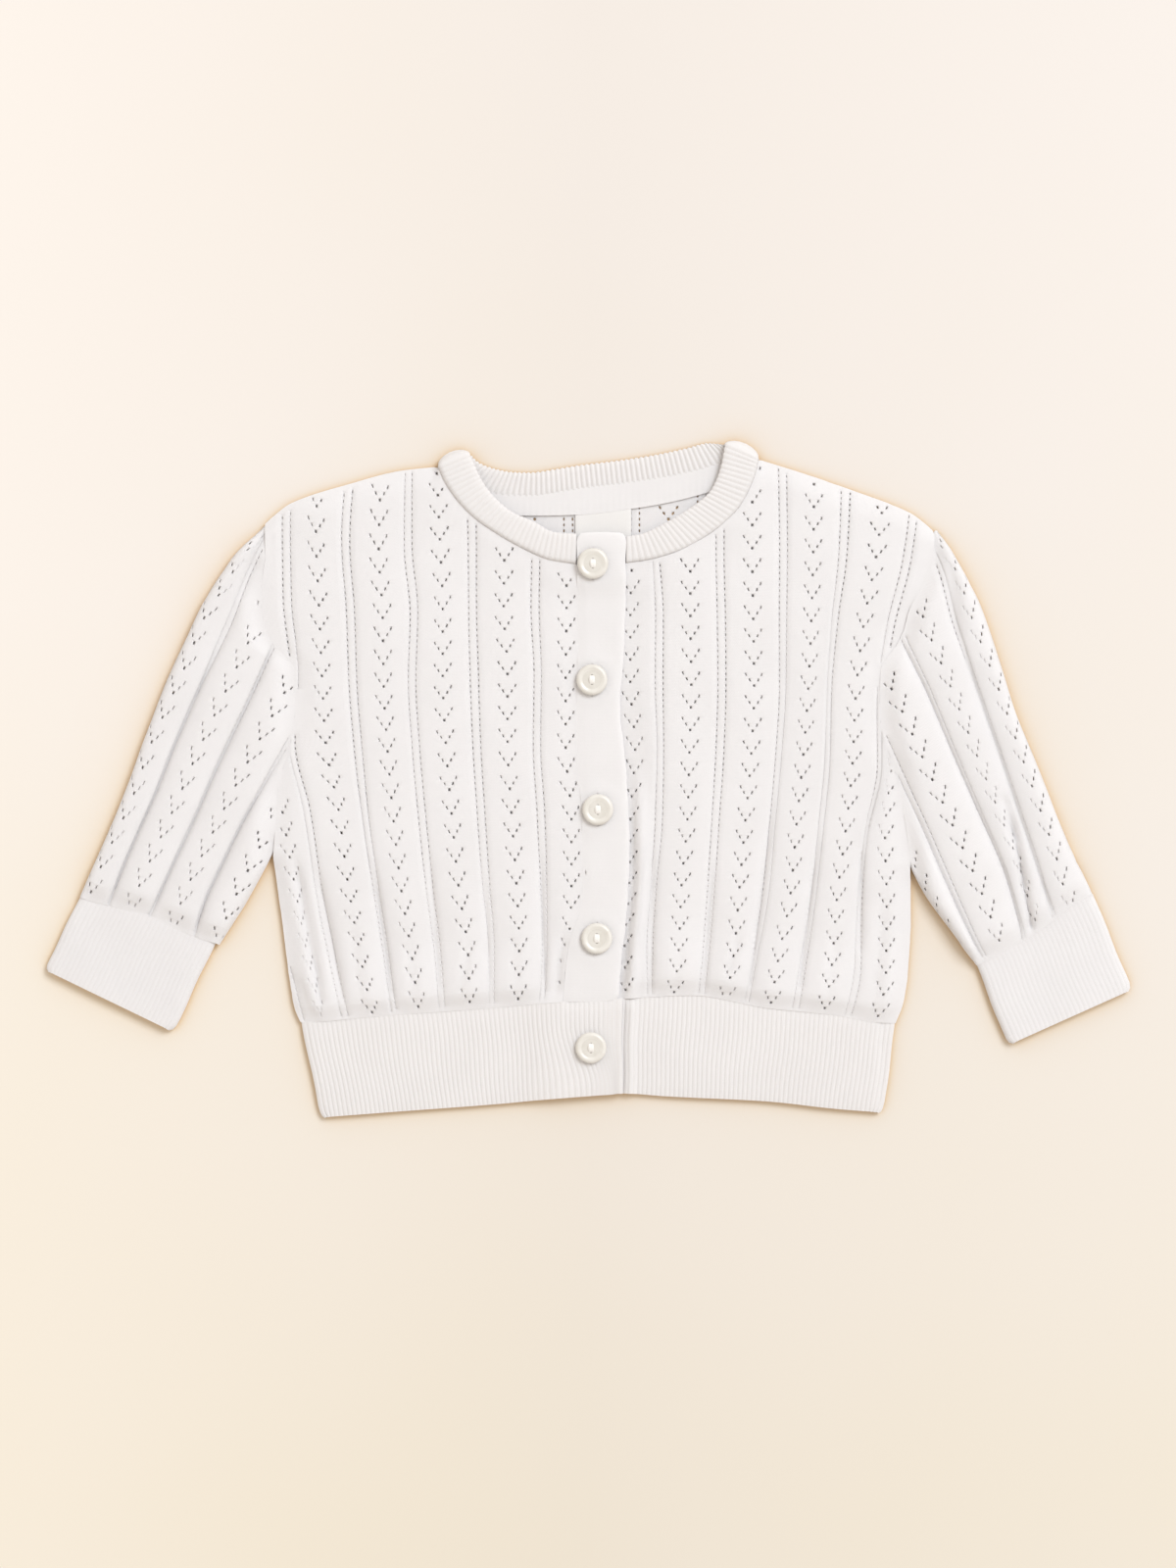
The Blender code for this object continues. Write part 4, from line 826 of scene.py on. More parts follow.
# --------------------------------------------------------------------- fronts
class FrontLay:
    """Where the cloth of a front lies: fabric (u, course) to plan."""

    def __init__(self, side):
        self.side = side
        t, p = MOTIFS[side], LADDERS[side]
        self.c = t.col("course")
        lines, ys = [], []
        n = 6
        X = [t.col("x%d" % k) for k in range(n)]
        Y = [t.col("y%d" % k) for k in range(n)]
        P = [p.col("p%d" % k) for k in range(n)]
        first = X[0] - 12.4 if side == "left" else X[0] - (P[0] - X[0]) * 0.95
        lines = [(-37.5, X[0] - (X[0] - first) * 3), (-25.0, X[0] - (X[0] - first) * 2), (-12.5, first)]
        for k in range(n):
            lines += [(k * V_WIDE, X[k]), (k * V_WIDE + 12.5, P[k])]
        last = 2 * P[5] - X[5] if side == "left" else P[5] + 12.4
        lines += [(150.0, last), (162.5, last + 11.0)]
        self.u = np.array([a for a, _ in lines])
        self.x = [b for _, b in lines]
        self.y = Y
        self.yu = np.arange(n) * V_WIDE

    def plan(self, u, c):
        u, c = np.asarray(u, float), np.asarray(c, float)
        X = np.stack([run_on(self.c, xs, c) for xs in self.x])
        Y = np.stack([run_on(self.c, ys, c) for ys in self.y])
        i = np.clip(np.searchsorted(self.u, u, side="right") - 1, 0, len(self.u) - 2)
        k = np.arange(len(u))
        x0, x1 = X[i, k], X[i + 1, k]
        t = (u - self.u[i]) / (self.u[i + 1] - self.u[i])
        wide = np.maximum(np.abs(x1 - x0), 1.0)
        swell = np.clip(0.95 * 12.5 / wide - 1, 0, 0.5)
        at_motif = (np.round(self.u[i] / 12.5).astype(int) % 2) == 0
        tt = np.clip(t, 0, 1)
        bend = swell * tt * (1 - tt) * np.where(at_motif, 1.0, -1.0)
        x = mix(x0, x1, t + bend)
        if self.side == "right":
            # the outermost column goes down into a narrow valley near the hem
            d = x - X[3]
            x = X[3] + d * (1 - 0.5 * smooth((c - 4.5) / 4.0) * bell(d / 7.0))
        j =np.clip((u / V_WIDE).astype(int), 0, len(self.yu) - 2)
        s = np.clip((u - self.yu[j]) / V_WIDE, 0, 1)
        y = mix(Y[j, k], Y[j + 1, k], smooth(s) * 0.5 + s * 0.5)
        return x, y


def front_piece(side):
    sign = -1.0 if side == "right" else 1.0
    lay = FrontLay(side)

    def place(u, c):
        x, y = lay.plan(u, c)
        off = ((u / V_WIDE + 0.5) % 1.0) - 0.5            # 0 on a motif, half on ladders
        trough = 0.5 - 0.5 * np.cos(2 * np.pi * off)
        sharp = np.abs(np.sin(np.pi * (off + 0.5))) ** 0.8   # 1 on a motif, 0 on ladders
        z = front_height(side, x, y, trough)
        free = (smooth((y - HEM_SEAM.at("y", x)) / 10.0)
                * smooth((top_edge(side, x) - y) / 8.0)
                * smooth(sign * (armhole_x(side, y) - x) / 8.0))
        if side == "right":     # level with the placket where they join
            free = free * smooth((PLACKET.at("outer", y) - x) / 7.0)
        z = z + free * (0.55 * (sharp - 0.6) + gentle(x, y, 42.0, 0.22, 3 if side == "right" else 4))
        z = z - creased(side, x, y) * smooth((y - HEM_SEAM.at("y", x)) / 5.0)
        if side == "left":
            # beside the placket this front stands up again steeply, out of a
            # narrow valley that is deepest low down
            off_band = x - PLACKET.at("inner", y)
            low = smooth((12.0 - y) / 40.0) * (0.35 + 0.65 * smooth((y + 92.0) / 10.0))
            z = z + 2.5 * low * bell((off_band - 5.2) / 2.1)
            z = z - 1.1 * low * bell((off_band - 1.5) / 1.6)
        return x, y, np.maximum(z, 1.72)

    def level(u, c):
        x, y = lay.plan(u, c)
        side_d = sign * (armhole_x(side, y) - x)
        inner = (x - NECK_POINT[side]) * (-sign) >= 0
        slope = 0.9 if side == "right" else 0.9
        neck_d = np.where(np.abs(x - NECK_POINT[side]) < 14.0, 0.62, slope) * (
            NECKLINE[side].at("y", x) - 0.0 - y)
        top_d = np.where(inner, neck_d, SHOULDER[side].at("y", x) - y)
        hem_d = y - HEM_SEAM.at("y", x) + 0.1
        if side == "right":
            band_d = PLACKET.at("outer", y) + 0.03 - x
        else:
            band_d = x - (PLACKET.at("inner", y) - 4.5)
        return np.minimum(np.minimum(side_d, top_d), np.minimum(hem_d, band_d))

    us, ukinds = lace_columns(-16.0, 150.0)
    cs, ckinds = lace_rows(-14.2, 13.2)
    obj = lace_piece("front_%s_lace" % side, us, ukinds, cs, ckinds, place, level, LACE_KNIT,
                     flip=True, fine=4.0)
    return obj


# ----------------------------------------------------------------------- back
def back_piece():
    def plan(u, c):
        y = 106.4 - V_TALL * c
        pitch = np.interp(y, [-100, -20, 40, 110], [24.2, 26.0, 27.0, 27.3])
        x = 32.8 + pitch * (u / V_WIDE)
        return x, y

    def place(u, c):
        x, y = plan(u, c)
        d = level(u, c)
        z = 0.53 + 0.28 * (1 - rounded(d / 4.0))
        return x, y, z

    def level(u, c):
        x, y = plan(u, c)
        right_d = x - armhole_x("right", y)
        left_d = armhole_x("left", y) - x
        top = np.where(x < NECK_POINT["right"], SHOULDER["right"].at("y", x),
                       np.where(x > NECK_POINT["left"], SHOULDER["left"].at("y", x),
                                BACK_NECK.at("y", x) - 0.2))
        hem_d = y - HEM_SEAM.at("y", x) + 0.1
        return np.minimum(np.minimum(right_d, left_d), np.minimum(top - y, hem_d))

    us, ukinds = lace_columns(-172.0, 112.0, plain=2)
    cs, ckinds = lace_rows(-3.5, 22.5)
    return lace_piece("back_lace", us, ukinds, cs, ckinds, place, level, LACE_KNIT,
                      drop=0.08, flip=True, coarse=1.2)


# -------------------------------------------------------------------- sleeves
def quarter(n0, z0, n1, z1, power, count=14, start_flat=True):
    """A soft quarter turn from a flat crest (n0, z0) to an upright side at n1, z1."""
    th = np.linspace(0, np.pi / 2, count)
    s, c = np.sin(th) ** (2 / power), np.cos(th) ** (2 / power)
    n, z = n0 + (n1 - n0) * s, z1 + (z0 - z1) * c
    if not start_flat:
        return n[::-1], z[::-1]
    return n, z


class SleeveLay:
    """Sections across the arm, then where each wale of the cloth lies in them."""

    def __init__(self, side):
        self.side = side
        t = SLEEVE[side]
        (ox, oy), (dx, dy), sign = SLEEVE_AT[side]
        px, py = armhole_x(side, ARMPIT[side]), ARMPIT[side]
        self.pit = (px - ox) * dx + (py - oy) * dy
        self.pit_n = sign * ((px - ox) * dy - (py - oy) * dx)
        self.A = np.arange(-14.0, 172.0, 1.5)
        self.u = np.arange(-90.0, 92.0, 0.25)
        N, Z, lo, hi = [], [], [], []
        for a in self.A:
            n, z, u = self.section(a, t)
            N.append(np.interp(self.u, u, n))
            Z.append(np.interp(self.u, u, z))
            lo.append(u[0])
            hi.append(u[-1])
        self.N, self.Z = np.array(N), np.array(Z)
        self.lo, self.hi = np.array(lo), np.array(hi)

    def inner(self, a, t):
        base = float(t.at("inner", a))
        if a <= 0:
            return base
        low = float(t.at("inner", min(a, 25.0)))
        if a <= self.pit:
            return mix(low, self.pit_n, float(smooth(a / self.pit)))
        return self.pit_n + (a - self.pit) * 0.1

    def section(self, a, t):
        side = self.side
        O, F1, F2, F3 = (float(t.at(k, a)) for k in ("outer", "fold1", "fold2", "fold3"))
        S1 = max(float(WALE_1[side].at("n", a)), O + 2.6)
        S2, S3 = (F1 + F2) / 2 + 0.3, (F2 + F3) / 2 + 0.3
        I = self.inner(a, t)
        F3 = min(F3, I - 3.0)
        S3 = (F2 + F3) / 2 + 0.3
        low = 0.52
        if side == "right":
            valley, tops, steep, rise, groove = 3.3, (5.8, 6.1, 6.0), 2.8, 1.8, 0.40
        else:
            valley, tops, steep, rise, groove = 4.0, (5.7, 5.9, 5.8), 2.0, 2.1, 0.34
        half = 0.5
        # the first fold opens out towards the shoulder
        open_up = float(smooth((a - 96.0) / 36.0))
        edge = 2.6
        pts = []

        def seg(pair, skip=1):
            n, z = pair
            pts.extend(zip(n[skip:] if pts else n, z[skip:] if pts else z))

        # underside, from the inner edge out, then round the outer edge
        seg(quarter(I - 3.0, low, I, 1.35, 2.2, 6, start_flat=False))
        seg((np.linspace(I - 3.0, O + 3.0, 30), np.full(30, low)))
        seg(quarter(O + 3.0, low, O, edge, 2.1, 8))
        seg(quarter(S1, tops[0], O, edge, 2.3, 12, start_flat=False))
        mark_s1 = len(pts) - 1
        marks = [(mark_s1, 0.0)]
        off = VALLEY_OFF[side]
        crest = S1
        top = tops[0]
        dip = valley - groove * np.array([0, 0.74, 1.0, 0.74, 0])
        for k, (F, S, new_top) in enumerate(((F1, S2, tops[1]), (F2, S3, tops[2]))):
            soft = open_up if k == 0 else 0.0
            w = half * (1 + 2.2 * soft)
            up = 1.3 * soft
            seg(quarter(crest, top, F - w, valley + up, mix(steep, 1.9, soft), 14))
            seg((np.array([F - w, F - w * 0.5, F, F + w * 0.5, F + w]), dip + up))
            marks.append((len(pts) - 3, 12.5 + 25 * k + off[k]))
            seg(quarter(S, new_top, F + w, valley + up, mix(rise, 1.6, soft), 14, start_flat=False))
            marks.append((len(pts) - 1, 25.0 * (k + 1)))
            crest, top = S, new_top
        seg(quarter(crest, top, F3 - half, valley, steep, 14))
        seg((np.array([F3 - half, F3 - half * 0.5, F3, F3 + half * 0.5, F3 + half]), dip))
        marks.append((len(pts) - 3, 62.5 + off[2]))
        room = I - F3
        S4 = F3 + room * 0.48
        top4 = valley + min(3.0, 0.62 * room)
        seg(quarter(S4, top4, F3 + half, valley, rise, 12, start_flat=False))
        seg(quarter(S4, top4, I, 2.1, 2.2, 12))
        P = np.array(pts)
        s = np.concatenate([[0], np.cumsum(np.hypot(*np.diff(P, axis=0).T))])
        u = np.empty(len(P))
        first, last = marks[0], marks[-1]
        for (i0, u0), (i1, u1) in zip(marks, marks[1:]):
            u[i0:i1 + 1] = u0 + (s[i0:i1 + 1] - s[i0]) / (s[i1] - s[i0]) * (u1 - u0)
        u[:first[0]] = first[1] - (s[first[0]] - s[:first[0]])
        u[last[0]:] = last[1] + (s[last[0]:] - s[last[0]])
        return P[:, 0], P[:, 1], u

    def lay(self, u, c):
        u, c = np.asarray(u, float), np.asarray(c, float)
        t = SLEEVE_COURSES[self.side]
        start = np.interp(u, t.col("u"), t.col("start"))
        step = np.interp(u, t.col("u"), t.col("step"))
        a = start - step * c
        fa = np.clip((a - self.A[0]) / 1.5, 0, len(self.A) - 1.001)
        fu = np.clip((u - self.u[0]) / 0.25, 0, len(self.u) - 1.001)
        i, j = fa.astype(int), fu.astype(int)
        p, q = fa - i, fu - j

        def pick(M):
            return ((M[i, j] * (1 - q) + M[i, j + 1] * q) * (1 - p)
                    + (M[i + 1, j] * (1 - q) + M[i + 1, j + 1] * q) * p)

        lo = self.lo[i] * (1 - p) + self.lo[i + 1] * p
        hi = self.hi[i] * (1 - p) + self.hi[i + 1] * p
        return a, pick(self.N), pick(self.Z), lo, hi


def sleeve_piece(side):
    lay = SleeveLay(side)
    s = 1.0 if side == "right" else -1.0

    def place(u, c):
        a, n, z, lo, hi = lay.lay(u, c)
        x, y = arm_to_plan(side, a, n)
        top = u > -6.0
        d_arm = s * (armhole_x(side, y) - x)
        d_cuff = a - CUFF_SEAM[side].at("a", n)
        # both ends come down to their seams
        z_arm = mix(ARM_Z, 1.9, smooth((y - TIP[side] + 12.0) / 12.0))
        z2 = mix(np.where(top, np.minimum(z, z_arm), z), z, smooth((d_arm - 0.3) / 9.0))
        z3 = mix(np.where(z > 1.9, np.minimum(z2, CUFF_TOP + 0.15), z2), z2, smooth((d_cuff + 0.3) / 9.0))
        on_top = smooth((z - 2.6) / 1.0)
        z3 = z3 + on_top * gentle(x, y, 34.0, 0.16, 8 if side == "right" else 9)
        z3 = z3 - np.where(top, creased("sleeve_" + side, x, y), 0.0) * smooth(d_cuff / 4.0) * on_top
        return x, y, np.maximum(z3, 0.5)

    def level(u, c):
        a, n, z, lo, hi = lay.lay(u, c)
        x, y = arm_to_plan(side, a, n)
        d_cuff = a - CUFF_SEAM[side].at("a", n) + 0.1
        d_arm = s * (armhole_x(side, y) - x)
        d_tip = (TIP[side] + 1.2 - y)
        return np.minimum(np.minimum(d_cuff, d_arm), np.minimum(np.minimum(hi - u, u - lo), d_tip))

    us, ukinds = lace_columns(-86.0, 90.0, plain=3)
    cs, ckinds = lace_rows(-17.0, 1.5)
    return lace_piece("sleeve_%s_lace" % side, us, ukinds, cs, ckinds, place, level, LACE_KNIT, flip=True)


# ----------------------------------------------------------------------- ribs
RIB_SHAPE = ((0.0, -1.0), (0.16, -0.25), (0.36, 0.75), (0.62, 0.85), (0.84, -0.10))


def rib_stations(length, pitch):
    """Positions and heights for ribs: narrow grooves, rounded ridges."""
    count = max(1, int(round(length / pitch)))
    step = length / count
    pos, high = [], []
    for k in range(count):
        for t, h in RIB_SHAPE:
            pos.append((k + t) * step)
            high.append(h)
    pos.append(length)
    high.append(-1.0)
    return np.array(pos), np.array(high)


def hem_piece(name, x_from, x_to, height, over=False, under=False):
    length = (x_to[0] - x_from[0] + x_to[1] - x_from[1]) / 2
    pos, high = rib_stations(length, 1.9)
    S = pos / length
    V = np.array([0.0, 0.02, 0.06, 0.12, 0.2, 0.3, 0.42, 0.54, 0.66, 0.78, 0.88, 0.95, 0.985, 1.0])
    s, v = np.meshgrid(S, V, indexing="ij")
    h = np.repeat(high[:, None], len(V), 1)
    x0, x1 = mix(x_from[0], x_to[0], s), mix(x_from[1], x_to[1], s)
    y0, y1 = HEM_SEAM.at("y", x0) + 0.1, HEM_EDGE.at("y", x1)
    x, y = mix(x0, x1, v), mix(y0, y1, v)
    # the outer corners of the lower edge are rounded
    for edge, way in ((R[1], 1.0), (L[1], -1.0)):
        if edge in (x_from[1], x_to[1]):
            near = np.clip(1 - (x - edge) * way / 5.0, 0, 1)
            x = x + way * 1.7 * near * (1 - np.sqrt(1 - np.square(np.clip((v - 0.88) / 0.12, 0, 1))))
    if over:
        # below the last button the ribs lean in to it
        pull = smooth((-100.0 - y) / 26.0)
        reach = smooth((x + 26.0) / 24.0) * (1 - smooth((x - 2.0) / 12.0))
        x = x + 6.0 * pull * reach
    x = x + 0.35 * np.sin(y / 7.0 + x / 19.0) * np.sin(v * np.pi)
    z = height(x)
    amp = 0.145 * np.ones_like(x)
    if over:
        strip = np.interp(y, [-128, -108, -98, -89], [2.5, 4.5, 7.0, 8.0])
        amp = amp * (1 - smooth((x - strip + 1.0) / 2.0))
        z = z + 0.25 * bell((x - 13.2) / 1.1)
        for by, bx in BUTTONS.rows[4:]:
            z = z - 0.35 * bell(np.hypot(x - bx, y - by) / 6.5)
    # the top edge is drawn in at the seam, the lower edge is rounded
    amp = amp * (0.45 + 0.55 * smooth(v / 0.10))
    if not under:
        z = z + 0.35 * np.sin(np.clip(v, 0, 1) * np.pi) + gentle(x, y, 38.0, 0.10, 21)
        z = z - 0.30 * (1 - smooth(v / 0.08)) - 0.25 * smooth((v - 0.95) / 0.05)
        if not over:
            # it stands up again close beside the front that laps over it
            z = z + 1.25 * bell((x - 17.4 - 0.02 * (y + 108)) / 1.9) * smooth(v / 0.08)
            z = z - 0.75 * (1 - rounded(np.clip((x_to[1] - x) / 4.0, 0, 1)))
        else:
            z = z - 0.75 * (1 - rounded(np.clip((x - mix(x_from[0], x_from[1], v)) / 4.0, 0, 1)))
            # and passes a little under the foot of the placket
            z = z - 0.70 * (1 - smooth(v / 0.10)) * smooth((x + 11.0) / 3.0)
        z = z + amp * h
    else:
        z = np.full_like(x, 0.66) + 0.10 * h * amp / 0.2
        side = np.minimum(x - mix(x_from[0], x_from[1], v), mix(x_to[0], x_to[1], v) - x)
        z = z + 0.25 * (1 - rounded(side / 3.0))
    verts = to_world(x, y, z).reshape(-1, 3)
    ribs = max(1, int(round(length / 1.9)))
    uv = np.stack([s * ribs * 1.9, (1 - v) * 38.0], -1).reshape(-1, 2)
    faces = grid_faces(len(S), len(V), flip=False)
    return make_piece(name, verts, faces, uv, RIB_KNIT, RIB_WALL)


def cuff_piece(side):
    t = CUFF[side]
    wide = float(t.rows[0][2] - t.rows[0][1])
    # outline of the flattened tube, from the outer edge over the top
    o, i = 0.0, wide
    n, z = [], []
    for a, b in (quarter(4.0, CUFF_TOP, o, CUFF_EDGE_Z, 2.2, 7, start_flat=False),
                 (np.linspace(4.0, i - 4.0, 20), np.full(20, CUFF_TOP)),
                 quarter(i - 4.0, CUFF_TOP, i, CUFF_EDGE_Z, 2.2, 7),
                 quarter(i - 3.0, CUFF_LOW, i, CUFF_EDGE_Z, 2.2, 7, start_flat=False),
                 (np.linspace(i - 3.0, o + 3.0, 20), np.full(20, CUFF_LOW)),
                 quarter(o + 3.0, CUFF_LOW, o, CUFF_EDGE_Z, 2.2, 7)):
        n.extend(a[1:] if n else a)
        z.extend(b[1:] if z else b)
    n, z = np.array(n[:-1]), np.array(z[:-1])
    nn, zz = np.append(n, n[0]), np.append(z, z[0])
    s = np.concatenate([[0], np.cumsum(np.hypot(np.diff(nn), np.diff(zz)))])
    length = s[-1]
    pos, high = rib_stations(length, 1.9)
    to_uv = int(round(length / 1.9)) * 1.9 / length
    pos, high = pos[:-1], high[:-1]
    pn, pz = np.interp(pos, s, nn), np.interp(pos, s, zz)
    # outward normal of the outline
    tn = np.interp((pos + 0.2) % length, s, nn) - np.interp((pos - 0.2) % length, s, nn)
    tz = np.interp((pos + 0.2) % length, s, zz) - np.interp((pos - 0.2) % length, s, zz)
    ln = np.maximum(np.hypot(tn, tz), 1e-6)
    on, oz = -tz / ln, tn / ln
    V = np.array([0.0, 0.025, 0.07, 0.14, 0.24, 0.36, 0.48, 0.6, 0.72, 0.84, 0.93, 0.975, 1.0])
    verts, uv = [], []
    for v in V:
        left = mix(t.rows[0][1], t.rows[1][1], v)
        right = mix(t.rows[0][2], t.rows[1][2], v)
        amp = 0.075 * (0.3 + 0.7 * float(smooth(v / 0.2)))
        rise = -0.10 * (1 - float(smooth(v / 0.06))) - 0.15 * float(smooth((v - 0.95) / 0.05))
        low = pz < 1.5
        an = pn + on * amp * high * np.where(low, 0.3, 1.0)
        az = pz + oz * amp * high * np.where(low, 0.3, 1.0) + np.where(pz > 2.2, rise, 0)
        az = az + np.where(pz > 2.6, 0.25 * math.sin(math.pi * v), 0)
        across = left + (an / wide) * (right - left)
        top = CUFF_SEAM[side].at("a", across) - 0.1
        end = mix(t.rows[1][3], t.rows[1][4], (across - t.rows[1][1]) / (t.rows[1][2] - t.rows[1][1]))
        along = mix(top, end, v)
        across = across + 0.35 * np.sin(along / 6.0) * math.sin(math.pi * v)
        # rounded corners at the opening
        turn = 1 - math.sqrt(1 - max(0.0, (v - 0.90) / 0.10) ** 2)
        across = across + 1.8 * turn * (np.clip(1 - an / 5.0, 0, 1) - np.clip(1 - (wide - an) / 5.0, 0, 1))
        x, y = arm_to_plan(side, along, across)
        az = az + np.where(pz > 2.6, gentle(x, y, 30.0, 0.10, 31), 0)
        if side == "left":
            # the fold of the layer below shows through as a faint line
            off = (along + 13.0) - 6.0 * (across - 27.0) / 54.0
            az = az - np.where(pz > 2.6, 0.22 * bell(off / 1.2), 0)
        verts.append(to_world(x, y, np.maximum(az, 0.57)))
        uv.append(np.stack([pos * to_uv, np.full(len(pos), -v * 36.0)], -1))
    faces = grid_faces(len(V), len(pos), ring=True, flip=(side == "left"))
    return make_piece("cuff_%s_rib" % side, np.concatenate(verts), faces,
                      np.concatenate(uv), CUFF_KNIT, RIB_WALL)


# ------------------------------------------------------------------- neckband
def neckband_piece():
    """A folded rib strip, swept along the neck: each station has its linked
    edge, its free folded edge and a closed soft section between them."""
    stations = []      # (sx, sy, sz, fx, fy, fz, out_x, out_y, crown)

    def sections(t, steps):
        n = len(t.rows) - 1
        k = np.linspace(0, n, steps)
        vals = [t.at(c, k) for c in ("sx", "sy", "fx", "fy", "z")]
        return [(a, b, e, c, d, e, 0.0, 0.0, 0.0) for a, b, c, d, e in zip(*vals)]

    def turn(row, outward, forward):
        _, sx, sy, fx, fy, _z = row
        out = []
        for k in range(1, 24):
            ang = math.pi * k / 24
            push = FOLD_OUT * math.sin(ang)
            z = mix(NECK_HIGH, NECK_LOW, (1 - math.cos(ang)) / 2)
            out.append((sx + outward[0] * push, sy + outward[1] * push, z,
                        fx + outward[0] * push, fy + outward[1] * push, z,
                        outward[0], outward[1], FOLD_CROWN * math.sin(ang)))
        return out if forward else out[::-1]

    stations += sections(FRONT_RIGHT_NECK, 90)
    stations += turn(FRONT_RIGHT_NECK.rows[-1], (-0.45, 0.89), True)
    stations += sections(BACK_NECKBAND, 140)
    stations += turn(FRONT_LEFT_NECK.rows[0], (0.48, 0.88), False)
    stations += sections(FRONT_LEFT_NECK, 100)
    P = np.array(stations)
    mid = (P[:, 0:3] + P[:, 3:6]) / 2
    free = P[:, 3:6]
    step = np.linalg.norm(np.diff(mix(mid, free, 0.4), axis=0), axis=1)
    keep = np.concatenate([[True], step > 1e-4])
    P = P[keep]
    # the crown eases in beside each turn
    crown = P[:, 8].copy()
    for _ in range(10):
        crown = np.maximum(crown, 0.9 * np.concatenate([crown[1:], crown[-1:]]) - 0.03)
        crown = np.maximum(crown, 0.9 * np.concatenate([crown[:1], crown[:-1]]) - 0.03)
    line = mix((P[:, 0:3] + P[:, 3:6]) / 2, P[:, 3:6], 0.3)
    s = np.concatenate([[0], np.cumsum(np.linalg.norm(np.diff(line, axis=0), axis=1))])
    pos, high = rib_stations(s[-1], 2.05)
    to_uv = int(round(s[-1] / 2.05)) * 1.9 / s[-1]
    Q = np.stack([np.interp(pos, s, P[:, k]) for k in range(8)], -1)
    crown = np.interp(pos, s, crown)
    S, F = Q[:, 0:3], Q[:, 3:6]
    near = np.hypot(Q[:, 6], Q[:, 7])
    out = np.where(near[:, None] > 1e-3, Q[:, 6:8] / np.maximum(near, 1e-3)[:, None], 0)
    along = np.gradient(mix(S, F, 0.6), axis=0)
    along /= np.linalg.norm(along, axis=1)[:, None]
    across = F - S
    width = np.linalg.norm(across, axis=1)
    unit = across / width[:, None]
    normal = np.cross(along, unit)
    normal /= np.linalg.norm(normal, axis=1)[:, None]
    # the section: up over the outside from the linked edge, round the fold, back
    shape = []
    for t in (0.05, 0.14, 0.3, 0.48, 0.66, 0.8, 0.9, 0.96):
        thick = 0.96 * (1 - max(0.0, (t - 0.74) / 0.26) ** 2.4) ** 0.5
        shape.append((t, thick - 0.24 * max(0.0, 1 - t / 0.14)))
    shape.append((0.995, 0.18))
    low = [(t, -h) for t, h in shape[::-1]]
    # where it is linked on, a thin lip laps over the edge of the front
    ring = [(-0.022, 0.12), (0.0, 0.50)] + shape + low + [(0.022, -0.30)]
    front = smooth((S[:, 2] - 2.0) / 1.5)
    depth = mix(0.34, 0.17, front)
    # beside the placket the band is pressed down level with it
    near_end = smooth(pos / 5.0)
    depth = depth * mix(0.3, 1.0, near_end)
    press = mix(0.60, 1.0, near_end)
    verts, uv = [], []
    for t, h in ring:
        r = 4 * max(t, 0.0) * (1 - t) * crown
        base = S + across * (np.maximum(0.012 + 0.985 * t, -0.012 * front + 0.012 * (1 - front)))[:, None]
        base[:, 0] += out[:, 0] * r
        base[:, 1] += out[:, 1] * r
        amp = depth * high * min(1.0, max(0.0, 0.15 + t / 0.10))
        if abs(h) < 0.3 and t > 0.5:
            point = base + unit * (amp * 0.8)[:, None] + normal * h
        else:
            tall = h * press if h > 0.13 else h * np.ones_like(press)
            point = base + normal * (tall + math.copysign(1, h) * amp)[:, None]
            point = point + unit * (0.3 * amp * max(0.0, t - 0.6))[:, None]
        verts.append(point)
        uv.append(np.stack([pos * to_uv, np.full(len(pos), (t if h > 0 else 2 - t) * 12.0)], -1))
    V = np.stack(verts, 1)                      # station, ring, 3
    V[:, :, 2] = np.maximum(V[:, :, 2], 0.0)
    UV = np.stack(uv, 1)
    n, m = V.shape[:2]
    W = to_world(V[:, :, 0], V[:, :, 1], V[:, :, 2]).reshape(-1, 3)
    faces = grid_faces(n, m, ring=True, flip=True)
    faces.append([j for j in range(m)])
    faces.append([(n - 1) * m + j for j in range(m)][::-1])
    return make_piece("neckband_rib", W, faces, UV.reshape(-1, 2), RIB_KNIT)


# --------------------------------------------------------------- plain pieces
def band_slit(x, y):
    """How near a point is to the buttonholes: 1 on the stitched rim."""
    rim = np.zeros_like(x)
    for by, bx in BUTTONS.rows:
        dx = np.abs(x - bx)
        dy = np.maximum(np.abs(y - by) - (HOLE_LONG / 2 - 0.2), 0)
        d = np.hypot(dx, dy)
        rim = np.maximum(rim, bell((d - 0.75) / 0.5))
    return rim


